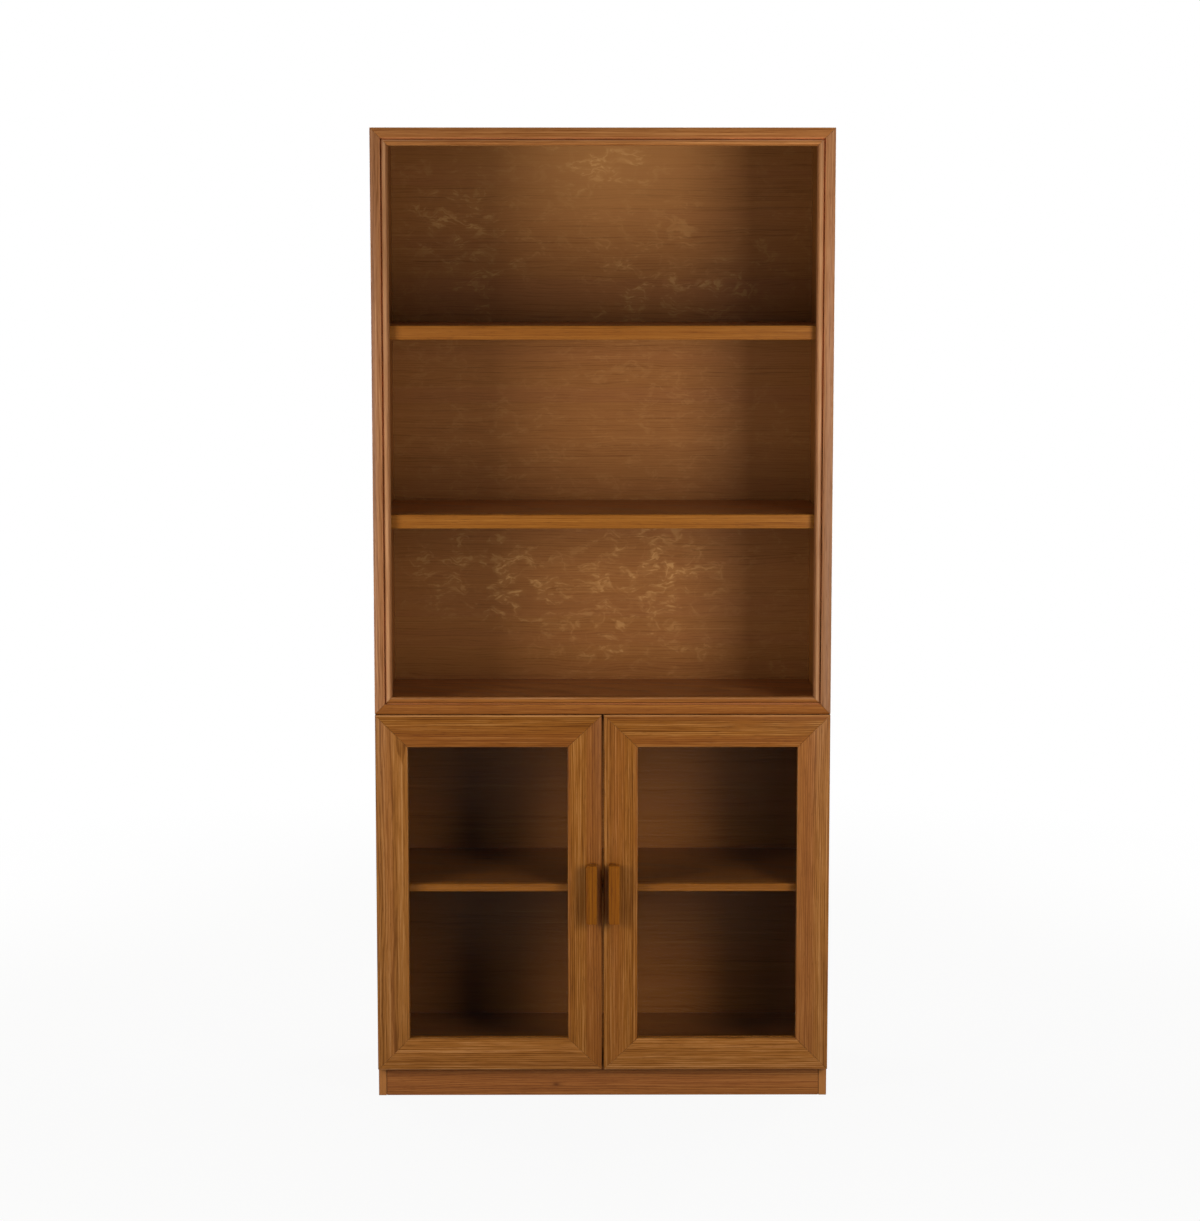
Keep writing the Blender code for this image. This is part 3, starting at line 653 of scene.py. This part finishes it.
# Painted highlight: a pale line along the doors' top edges, where light catches them.
EDGE_HIGHLIGHT = (196, 140, 88)
EDGE_SHARE = 0.7
EDGE_INSET = 0.0012
EDGE_HALF = 0.0022
# Painted light and shade: the right stile darker below and lighter above, and the top rail lighter towards
# the right, as the lamps light them.
RIGHT_STILE_PAINTED_LIGHT = {"first": 1.0, "last": 1.75, "start": 0.77, "end": 1.17}
TOP_RAIL_PAINTED_LIGHT = {"first": 0.0, "last": 0.42, "start": 1.0, "end": 1.16}

inner_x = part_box("hutch_frame_right")[0].x
inner_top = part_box("hutch_frame_top")[0].z
inner_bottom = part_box("hutch_frame_bottom")[1].z
door_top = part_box("left_door_top_rail")[1].z
side_groove_light = painted_line(inner_x + GROOVE_INSET, GROOVE_HALF, SIDE_GROOVE_SHARE, GROOVE_PAINTED_LIGHT)
top_groove_light = painted_line(inner_top + GROOVE_INSET, GROOVE_HALF, TOP_GROOVE_SHARE, GROOVE_PAINTED_LIGHT)
bottom_groove_light = painted_line(inner_bottom - GROOVE_INSET, GROOVE_HALF, BOTTOM_GROOVE_SHARE, GROOVE_PAINTED_LIGHT)
side_bead_highlight = painted_line(inner_x + SIDE_BEAD_INSET, SIDE_BEAD_HALF, BEAD_SHARE, BEAD_HIGHLIGHT, side_groove_light)
top_bead_highlight = painted_line(inner_top + TOP_BEAD_INSET, TOP_BEAD_HALF, BEAD_SHARE, BEAD_HIGHLIGHT, top_groove_light)
bottom_bead_highlight = painted_line(
    inner_bottom - BOTTOM_BEAD_INSET, BOTTOM_BEAD_HALF, BOTTOM_BEAD_SHARE, BEAD_HIGHLIGHT, bottom_groove_light
)
painted_light_above = painted_light_along(side_bead_highlight, **RIGHT_STILE_PAINTED_LIGHT)
painted_light_right = painted_light_along(top_bead_highlight, **TOP_RAIL_PAINTED_LIGHT)
door_top_edge_highlight = painted_line(door_top - EDGE_INSET, EDGE_HALF, EDGE_SHARE, EDGE_HIGHLIGHT)
print("Face frame opens", round(2 * inner_x, 4), "wide and", round(inner_top - inner_bottom, 4), "high")

# %% Mix the timbers
timbers = {
    "frame_left": timber_finish(
        "frame_timber_left", UP_FACE, FRAME_STILE_COLOURS, detail=side_bead_highlight, **RUBBED_AND_HIGHLIGHTED
    ),
    "frame_right": timber_finish(
        "frame_timber_right", UP_FACE, FRAME_STILE_COLOURS, detail=painted_light_above, **RUBBED_AND_HIGHLIGHTED
    ),
    "frame_top": timber_finish(
        "frame_timber_top", ALONG_FACE, FRAME_TOP_COLOURS, detail=painted_light_right, **RUBBED_AND_HIGHLIGHTED
    ),
    "frame_bottom": timber_finish(
        "frame_timber_bottom", ALONG_FACE, FRAME_BOTTOM_COLOURS, detail=bottom_bead_highlight, **SMOOTH
    ),
    "door_stile": timber_finish("door_stile_timber", UP_FACE, MEETING_STILE_COLOURS),
    "hinge_stile": timber_finish("hinge_stile_timber", UP_FACE, HINGE_STILE_COLOURS),
    "door_top": timber_finish("door_top_rail_timber", ALONG_FACE, SHADED_DOOR_TOP_COLOURS, detail=door_top_edge_highlight),
    "door_bottom": timber_finish("door_bottom_rail_timber", ALONG_FACE, LIT_DOOR_BOTTOM_COLOURS),
    "side": timber_finish("side_timber", UP_SIDE, CASE_COLOURS, detail=lipped, **ARCHED),
    "board": timber_finish("board_timber", ALONG_FLAT, CASE_COLOURS, **ARCHED),
    "hutch_board": timber_finish("hutch_board_timber", ALONG_FLAT, HUTCH_BOARD_COLOURS, **ARCHED),
    "shaded_cabinet_board": timber_finish("cabinet_board_timber", ALONG_FLAT, SHADED_CABINET_BOARD_COLOURS, **ARCHED),
    "back": timber_finish("back_veneer_timber", ALONG_FACE, BACK_COLOURS, detail=figured_and_painted_light, **VENEER),
    "cabinet_back": timber_finish(
        "cabinet_back_timber", ALONG_FACE, SHADED_CABINET_BACK_COLOURS, detail=painted_shade_cloud, **VENEER
    ),
    "lipping": timber_finish("lipping_timber", ALONG_FACE, LIPPING_COLOURS, **SMOOTH),
    "plinth": timber_finish("plinth_timber", ALONG_FACE, PLINTH_COLOURS, detail=knotted),
    "pull": timber_finish("pull_timber", UP_FACE, PULL_COLOURS, **SMOOTH),
}
print("Timbers mixed:", ", ".join(sorted(timbers)))

# %% [markdown]
# ## Glass
# The panes are plain clear float glass. Light from the lamps has to pass through them, and a refracting
# solid throws a dark shadow in a path tracer, so a shadow ray meets a Transparent shader instead. A ray
# that has left a dull surface meets it too. Otherwise the lamps' light would be counted twice.
# Faint smears change the roughness a little, so that the pane isn't perfect. The tint of the gloss is
# dark, because a pane with full gloss would lay the white surroundings over the shelf behind it.

# %% Clear glass
GLASS_TINT = (0.93, 0.93, 0.91, 1.0)
GLASS_IOR = 1.45
GLOSS_TINT = (0.03, 0.03, 0.03, 1.0)
LIGHT_THROUGH = (0.95, 0.95, 0.93, 1.0)
SMEARS = (9.0, 9.0, 4.0)
SMEAR_ROUGHNESS = 0.012


def clear_glass():
    """Float glass that lets the lamps through."""
    material, make, shader, output = new_material("clear_glass")
    place = make.node("ShaderNodeTexCoord").outputs["Object"]
    smear = make.ramp(make.noise(place, SMEARS, detail=3.0), 0.45, 0.75, end=SMEAR_ROUGHNESS)
    make.join(smear, shader.inputs["Roughness"])
    shader.inputs["Base Color"].default_value = GLASS_TINT
    shader.inputs["Transmission Weight"].default_value = 1.0
    shader.inputs["IOR"].default_value = GLASS_IOR
    shader.inputs["Specular Tint"].default_value = GLOSS_TINT
    through = make.node("ShaderNodeBsdfTransparent", {"Color": LIGHT_THROUGH})
    path = make.node("ShaderNodeLightPath").outputs
    seen = shader.outputs["BSDF"]
    for ray in ("Is Shadow Ray", "Is Diffuse Ray"):
        mix = make.node("ShaderNodeMixShader", {"Fac": path[ray]})
        make.join(seen, mix.inputs[1])
        make.join(through.outputs["BSDF"], mix.inputs[2])
        seen = mix.outputs["Shader"]
    make.join(seen, output.inputs["Surface"])
    return material


GLASS = clear_glass()
print("Finish made:", GLASS.name)

# %% [markdown]
# ## Metal and plastic
# Hinges, shelf pins and strike plates are nickelled steel with a brushed surface, and the catches are
# brown moulded plastic with a fine grained skin. They are small, but they show when the doors open.

# %% Nickelled steel and brown plastic
FINE_CLOUDS = (35.0, 35.0, 35.0)
FINE_RUB_WIDTH = 0.0006
FINE_RUB = 0.4
FINE_BUMP = 0.3
FINE_SPECULAR = 0.15
STEEL_SHADES = ((150, 148, 142), (205, 203, 198))
BRUSHED = (900.0, 900.0, 60.0)
BRUSH_DEPTH = 0.00005
PLASTIC_SHADES = ((52, 33, 20), (74, 49, 31))
MOULDED = (1400.0, 1400.0, 1400.0)
MOULD_DEPTH = 0.00008


def fine_finish(name, shades, stretch, depth, metallic, roughness):
    """A finish with two shades, a fine grain stretched as told, and rubbed edges."""
    material, make, shader, _ = new_material(name)
    place = make.node("ShaderNodeTexCoord").outputs["Object"]
    grain = make.noise(place, stretch, detail=3.0, roughness=0.6)
    cloud = make.noise(place, FINE_CLOUDS)
    dark, light = [stain(*shade) for shade in shades]
    tone = make.total(0.5, (grain, 0.5, 0.8), (cloud, 0.5, 1.0))
    colour = make.blend(make.ramp(tone, 0.2, 0.8), dark, light)
    edge = make.node("ShaderNodeGroup", node_tree=RUBBED_EDGE)
    make.join(place, edge.inputs["Place"])
    edge.inputs["Width"].default_value = FINE_RUB_WIDTH
    bright = make.math("MULTIPLY", edge.outputs["Mask"], FINE_RUB)
    make.join(make.blend(bright, colour, light), shader.inputs["Base Color"])
    shader.inputs["Metallic"].default_value = metallic
    shader.inputs["Specular IOR Level"].default_value = FINE_SPECULAR
    make.join(make.total(roughness, (grain, 0.5, 0.3), (cloud, 0.5, 0.2)), shader.inputs["Roughness"])
    bump = make.node("ShaderNodeBump", {"Strength": FINE_BUMP, "Distance": depth, "Height": grain})
    make.join(bump.outputs["Normal"], shader.inputs["Normal"])
    return material


STEEL = fine_finish("nickelled_steel", STEEL_SHADES, BRUSHED, BRUSH_DEPTH, metallic=1.0, roughness=0.32)
PLASTIC = fine_finish("brown_plastic", PLASTIC_SHADES, MOULDED, MOULD_DEPTH, metallic=0.0, roughness=0.50)
print("Finishes made:", STEEL.name, "and", PLASTIC.name)

# %% [markdown]
# ## Dress the solids
# Each solid's name says what it is, so a short list of endings picks its finish. The first ending that
# fits wins. The solids come in as loose flat triangles, so a small Geometry Nodes modifier welds them
# and smooths what is round, and leaves the mesh itself as it is.

# %% Smooth shading
WELD_DISTANCE = 0.00001
CREASE_ANGLE = math.radians(32)


def soft_shading():
    """Geometry nodes: weld, drop the flat normals, then shade smooth below the crease angle."""
    tree = bpy.data.node_groups.new("soft_shading", "GeometryNodeTree")
    tree.interface.new_socket("Geometry", in_out="INPUT", socket_type="NodeSocketGeometry")
    tree.interface.new_socket("Geometry", in_out="OUTPUT", socket_type="NodeSocketGeometry")
    make = Wiring(tree)
    mesh = make.node("NodeGroupInput").outputs["Geometry"]
    weld = {"Geometry": mesh, "Distance": WELD_DISTANCE}
    mesh = make.node("GeometryNodeMergeByDistance", weld).outputs[0]
    flat_normals = {"Geometry": mesh, "Name": "custom_normal"}
    mesh = make.node("GeometryNodeRemoveAttribute", flat_normals).outputs[0]
    smooth = {"Geometry": mesh, "Shade Smooth": True}
    mesh = make.node("GeometryNodeSetShadeSmooth", smooth).outputs[0]
    angle = make.node("GeometryNodeInputMeshEdgeAngle").outputs["Unsigned Angle"]
    crease = make.math("GREATER_THAN", angle, CREASE_ANGLE)
    sharp = {"Geometry": mesh, "Selection": crease, "Shade Smooth": False}
    mesh = make.node("GeometryNodeSetShadeSmooth", sharp, domain="EDGE").outputs[0]
    make.node("NodeGroupOutput", {"Geometry": mesh})
    return tree


SOFT_SHADING = soft_shading()
print("Modifier tree made:", SOFT_SHADING.name)

# %% Finishes by name
FINISH_BY_ENDING = [
    ("_glass", GLASS, "clear_glass"),
    ("_hinge_cup", STEEL, "steel"),
    ("_hinge_arm", STEEL, "steel"),
    ("_strike_plate", STEEL, "steel"),
    ("_magnet_catch", PLASTIC, "brown_plastic"),
    ("_pull", timbers["pull"], "pull_wood"),
    ("hutch_frame_left", timbers["frame_left"], "frame_wood"),
    ("hutch_frame_right", timbers["frame_right"], "frame_wood"),
    ("hutch_frame_top", timbers["frame_top"], "frame_wood"),
    ("hutch_frame_bottom", timbers["frame_bottom"], "frame_wood"),
    ("_hinge_stile", timbers["hinge_stile"], "door_wood"),
    ("_stile", timbers["door_stile"], "door_wood"),
    ("_glazing_bead", timbers["door_stile"], "door_wood"),
    ("door_top_rail", timbers["door_top"], "door_wood"),
    ("door_bottom_rail", timbers["door_bottom"], "door_wood"),
    ("_lipping", timbers["lipping"], "lipping_wood"),
    ("plinth_front_rail", timbers["plinth"], "plinth_wood"),
    ("plinth_rear_rail", timbers["plinth"], "plinth_wood"),
    ("cabinet_back", timbers["cabinet_back"], "back_veneer"),
    ("hutch_back", timbers["back"], "back_veneer"),
    ("_side", timbers["side"], "case_wood"),
    ("cabinet_shelf", timbers["shaded_cabinet_board"], "case_wood"),
    ("cabinet_bottom", timbers["shaded_cabinet_board"], "case_wood"),
    ("_shelf", timbers["hutch_board"], "case_wood"),
    ("_bottom", timbers["hutch_board"], "case_wood"),
    ("_top", timbers["board"], "case_wood"),
]


def dress(name, solid):
    """Give a solid its finish and its smooth shading."""
    finish, slot = STEEL, "steel"
    for ending, material, record_slot in FINISH_BY_ENDING:
        if name.endswith(ending):
            finish, slot = material, record_slot
            break
    solid.data.materials.clear()
    solid.data.materials.append(finish)
    shading = solid.modifiers.new("soft_shading", "NODES")
    shading.node_group = SOFT_SHADING
    return finish.name


dressed = [dress(name, solid) for name, solid in nodes.items()]
for finish_name in sorted(set(dressed)):
    print(finish_name, "on", dressed.count(finish_name), "solids")

# %% [markdown]
# ## Screws
# Screws hold the hinges, the catches and the backs. A head is a low dome with a cross recess. It is
# modelled once, facing +Z, and each group of screws is one piece that rides on what it holds.

# %% Screw heads
HEAD_SIDES = 24
BROW_WIDTH = 0.93
BROW_RISE = 0.60
CROWN_WIDTH = 0.74
CROSS_ARM = 0.52
CROSS_HALF = 0.13
RECESS_NARROWING = 0.8
RECESS_DEPTH = 0.35


def ring_of(shape, radius, height):
    """A ring of points."""
    points = []
    for step in range(HEAD_SIDES):
        angle = 2 * math.pi * step / HEAD_SIDES
        points.append(shape.verts.new((radius * math.cos(angle), radius * math.sin(angle), height)))
    return points


def cross_of(shape, radius, height):
    """The outline of a cross recess, twelve points."""
    arm, half = CROSS_ARM * radius, CROSS_HALF * radius
    quarter = [(arm, -half), (arm, half), (half, half)]
    points = []
    for turn in range(4):
        spin = Matrix.Rotation(turn * math.pi / 2, 2)
        points += [shape.verts.new((*(spin @ Vector(point)), height)) for point in quarter]
    return points


def wall_between(shape, lower, upper):
    """Faces from one ring of points to the next."""
    for step, point in enumerate(lower):
        after = (step + 1) % len(lower)
        shape.faces.new((point, lower[after], upper[after], upper[step]))


def loop_edges(shape, points):
    """The edges round a closed row of points."""
    found = []
    for step, point in enumerate(points):
        following = points[(step + 1) % len(points)]
        found.append(shape.edges.get((point, following)) or shape.edges.new((point, following)))
    return found


def add_screw_head(shape, radius, rise, place):
    """One screw head: a dome of this rise with a sunk cross, moved to its place."""
    before = set(shape.verts)
    foot = ring_of(shape, radius, 0.0)
    brow = ring_of(shape, BROW_WIDTH * radius, BROW_RISE * rise)
    crown = ring_of(shape, CROWN_WIDTH * radius, rise)
    wall_between(shape, foot, brow)
    wall_between(shape, brow, crown)
    cross = cross_of(shape, radius, rise)
    bottom = cross_of(shape, RECESS_NARROWING * radius, rise - RECESS_DEPTH * radius)
    wall_between(shape, bottom, cross)
    rims = loop_edges(shape, crown) + loop_edges(shape, cross)
    bmesh.ops.triangle_fill(shape, use_beauty=True, edges=rims)
    bmesh.ops.triangle_fill(shape, use_beauty=True, edges=loop_edges(shape, bottom))
    shape.faces.new(list(reversed(foot)))
    made = [point for point in shape.verts if point not in before]
    bmesh.ops.transform(shape, matrix=place, verts=made)


# %% Groups of screws
FIRST_SPIN = math.radians(25)
NEXT_SPIN = math.radians(40)


def screws(name, body, places, facing, radius, rise):
    """A group of screws as one piece that rides on a body."""
    shape = bmesh.new()
    turn = Vector(facing).to_track_quat("Z", "Y").to_matrix().to_4x4()
    for step, place in enumerate(places):
        spin = Matrix.Rotation(FIRST_SPIN + NEXT_SPIN * step, 4, "Z")
        add_screw_head(shape, radius, rise, Matrix.Translation(place) @ turn @ spin)
    bmesh.ops.recalc_face_normals(shape, faces=shape.faces[:])
    mesh = bpy.data.meshes.new(name)
    shape.to_mesh(mesh)
    shape.free()
    mesh.materials.append(STEEL)
    mesh.shade_smooth()
    mesh.set_sharp_from_angle(angle=CREASE_ANGLE)
    piece = bpy.data.objects.new(name, mesh)
    scene.collection.objects.link(piece)
    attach(piece, body)
    print(name, "has", len(places), "screws on", body)
    return piece


# %% Hinge and catch screws
CUP_SCREW_LIFTS = (-0.0145, 0.0145)
CUP_SCREW_RADIUS = 0.0021
CUP_SCREW_RISE = 0.0005
ARM_SCREW_INSETS = (0.010, 0.035)
ARM_SCREW_RADIUS = 0.0030
ARM_SCREW_RISE = 0.0008
CATCH_SCREW_SHIFTS = (-0.013, 0.013)
CATCH_SCREW_RADIUS = 0.0025
CATCH_SCREW_RISE = 0.0008
SEAT = 0.0001

for side in ("left", "right"):
    inward = 1 if side == "left" else -1
    door_body = f"{side}_door"
    for level in ("lower", "upper"):
        low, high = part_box(f"{side}_door_{level}_hinge_cup")
        middle = (low + high) / 2
        seats = [(middle.x, high.y + SEAT, middle.z + lift) for lift in CUP_SCREW_LIFTS]
        name = f"{side}_door_{level}_cup_screws"
        screws(name, door_body, seats, (0, 1, 0), CUP_SCREW_RADIUS, CUP_SCREW_RISE)
        low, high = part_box(f"{side}_door_{level}_hinge_arm")
        face = high.x if side == "left" else low.x
        middle = (low + high) / 2
        seats = [(face + inward * SEAT, high.y - inset, middle.z) for inset in ARM_SCREW_INSETS]
        name = f"{side}_door_{level}_arm_screws"
        screws(name, "case", seats, (inward, 0, 0), ARM_SCREW_RADIUS, ARM_SCREW_RISE)
    low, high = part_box(f"{side}_door_magnet_catch")
    middle = (low + high) / 2
    seats = [(middle.x + shift, middle.y, low.z - SEAT) for shift in CATCH_SCREW_SHIFTS]
    name = f"{side}_door_catch_screws"
    screws(name, "case", seats, (0, 0, -1), CATCH_SCREW_RADIUS, CATCH_SCREW_RISE)

# %% [markdown]
# ## Back fixings
# The thin backs lie in rebates and are screwed round their edges. The screws sit within the rebate's
# depth, so the bookcase can still stand flat against a wall.

# %% Back screws
BACK_SCREW_INSET = 0.014
BACK_SCREW_RADIUS = 0.0036
BACK_SCREW_RISE = 0.0011
BACK_SCREW_COUNTS = {"hutch_back": (5, 6), "cabinet_back": (5, 4)}


def spaced(first, last, count):
    """Evenly spaced places from first to last."""
    return [first + (last - first) * step / (count - 1) for step in range(count)]


for back, (across, up) in BACK_SCREW_COUNTS.items():
    low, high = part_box(back)
    columns = spaced(low.x + BACK_SCREW_INSET, high.x - BACK_SCREW_INSET, across)
    rows = spaced(low.z + BACK_SCREW_INSET, high.z - BACK_SCREW_INSET, up)
    seats = [(x, high.y + SEAT, z) for z in (rows[0], rows[-1]) for x in columns]
    seats += [(x, high.y + SEAT, z) for z in rows[1:-1] for x in (columns[0], columns[-1])]
    screws(f"{back}_screws", "case", seats, (0, 1, 0), BACK_SCREW_RADIUS, BACK_SCREW_RISE)

# %% [markdown]
# ## Floor and white surroundings
# The bookcase stands on a pale floor in front of plain white. Only rays that come from the camera, or
# from there by a mirror or a pane, see that white. Light that falls on the bookcase comes from the
# lamps and from a much dimmer room, so that the white doesn't wash out the shadows in the shelves.
# Near the bookcase the floor lets through a little of its real shading, which keeps the shadow.

# %% White room
ROOM_LIGHT = 0.015
ROOM_TINT = (1.0, 0.98, 0.95, 1.0)
WHITE = (1.0, 1.0, 1.0, 1.0)


def seen_directly(make):
    """1 for rays from the camera, straight or by gloss or glass, and 0 after a diffuse bounce."""
    path = make.node("ShaderNodeLightPath").outputs
    seen = make.math("MAXIMUM", path["Is Camera Ray"], path["Is Glossy Ray"])
    seen = make.math("MAXIMUM", seen, path["Is Transmission Ray"])
    return make.math("MULTIPLY", seen, make.math("SUBTRACT", 1.0, path["Diffuse Depth"], clamp=True))


def white_room():
    """The world: white where it is seen, dim where it lights."""
    world = bpy.data.worlds.new("white_room")
    world.use_nodes = True
    make = Wiring(world.node_tree)
    dim = world.node_tree.nodes["Background"]
    dim.inputs["Color"].default_value = ROOM_TINT
    dim.inputs["Strength"].default_value = ROOM_LIGHT
    white = make.node("ShaderNodeBackground", {"Color": WHITE, "Strength": 1.0})
    mix = make.node("ShaderNodeMixShader", {"Fac": seen_directly(make)})
    make.join(dim.outputs[0], mix.inputs[1])
    make.join(white.outputs[0], mix.inputs[2])
    make.join(mix.outputs[0], world.node_tree.nodes["World Output"].inputs["Surface"])
    return world


scene.world = white_room()
print("World made:", scene.world.name)

# %% Floor
FLOOR_HALF = 9.0
FLOOR_SQUARES = 8
FLOOR_DROP = 0.0005
FLOOR_SPECKLES = (60.0, 60.0, 60.0)
FLOOR_DARK = (0.50, 0.50, 0.49, 1.0)
FLOOR_LIGHT = (0.56, 0.56, 0.55, 1.0)
FLOOR_ROUGHNESS = 0.8
SHADOW_SHARE = 0.07
SHADOW_REACH = (1.3, 3.2)


def pale_floor():
    """A wide floor, white where it is seen, with the bookcase's soft shadow."""
    shape = bmesh.new()
    bmesh.ops.create_grid(shape, x_segments=FLOOR_SQUARES, y_segments=FLOOR_SQUARES, size=FLOOR_HALF)
    mesh = bpy.data.meshes.new("floor")
    shape.to_mesh(mesh)
    shape.free()
    material, make, shader, output = new_material("pale_floor")
    place = make.node("ShaderNodeTexCoord").outputs["Object"]
    speckle = make.noise(place, FLOOR_SPECKLES, detail=3.0)
    make.join(make.blend(speckle, FLOOR_DARK, FLOOR_LIGHT), shader.inputs["Base Color"])
    shader.inputs["Roughness"].default_value = FLOOR_ROUGHNESS
    shader.inputs["Specular IOR Level"].default_value = 0.0
    white = make.node("ShaderNodeEmission", {"Color": WHITE, "Strength": 1.0})
    reach = make.ramp(make.vector("LENGTH", place, out="Value"), *SHADOW_REACH, start=1 - SHADOW_SHARE)
    mix = make.node("ShaderNodeMixShader", {"Fac": make.math("MULTIPLY", seen_directly(make), reach)})
    make.join(shader.outputs["BSDF"], mix.inputs[1])
    make.join(white.outputs["Emission"], mix.inputs[2])
    make.join(mix.outputs["Shader"], output.inputs["Surface"])
    mesh.materials.append(material)
    floor = bpy.data.objects.new("floor", mesh)
    floor.location.z = cad_box[0].z - FLOOR_DROP
    scene.collection.objects.link(floor)
    return floor


print("Floor made:", pale_floor().name)

# %% [markdown]
# ## Lamps
# Two tall soft boxes stand in front, one to each side. Their edges can be read from the shadows that
# the face frame throws on the back panel: the right one is the narrower, so its shadow ends more
# sharply. Their middles lie lower than the top compartment, so its shelf shades the foot of its back.
# Three more light the back, the sides and the top. They stand behind the face frame, so they change
# nothing on the front.

# %% Soft boxes
LAMP_TINT = (1.0, 0.97, 0.93)


def soft_box(name, place, size, power, target):
    """A rectangular lamp that faces the target."""
    lamp = bpy.data.lights.new(name, "AREA")
    lamp.shape = "RECTANGLE"
    lamp.size, lamp.size_y = size
    lamp.energy = power
    lamp.color = LAMP_TINT
    holder = bpy.data.objects.new(name, lamp)
    holder.visible_camera = False
    scene.collection.objects.link(holder)
    look_at(holder, place, target)
    print(name, power, "W")


# %% Front lamps
LAMP_FRONT = -1.70
LAMP_HEIGHT = 1.15
LAMP_TALL = 1.25
FRONT_BOXES = {"left_soft_box": (-1.65, 0.78, 30.2), "right_soft_box": (1.17, 0.60, 27.5)}

front_middle = Vector((0.0, frame_front, LAMP_HEIGHT))
for name, (across, width, power) in FRONT_BOXES.items():
    soft_box(name, Vector((across, LAMP_FRONT, LAMP_HEIGHT)), (width, LAMP_TALL), power, front_middle)

# %% Rear and top lamps
REAR_LAMP = 1.90
REAR_BOXES = {"rear_left_soft_box": -2.10, "rear_right_soft_box": 2.10}
REAR_SIZE = (1.4, 1.6)
REAR_POWER = 45.0
TOP_LAMP = Vector((0.0, 0.45, 3.20))
TOP_SIZE = (1.6, 0.9)
TOP_POWER = 26.0
TOP_AIM_Y = 0.1

middle = Vector((0.0, 0.0, (cad_box[0].z + cad_box[1].z) / 2))
for name, across in REAR_BOXES.items():
    soft_box(name, Vector((across, REAR_LAMP, LAMP_HEIGHT)), REAR_SIZE, REAR_POWER, middle)
soft_box("top_soft_box", TOP_LAMP, TOP_SIZE, TOP_POWER, Vector((0.0, TOP_AIM_Y, cad_box[1].z)))

# %% [markdown]
# ## Finish
# The size of the solids is printed.

# %% Size of the solids
print("Solid size", [round(value, 4) for value in cad_box[1] - cad_box[0]])
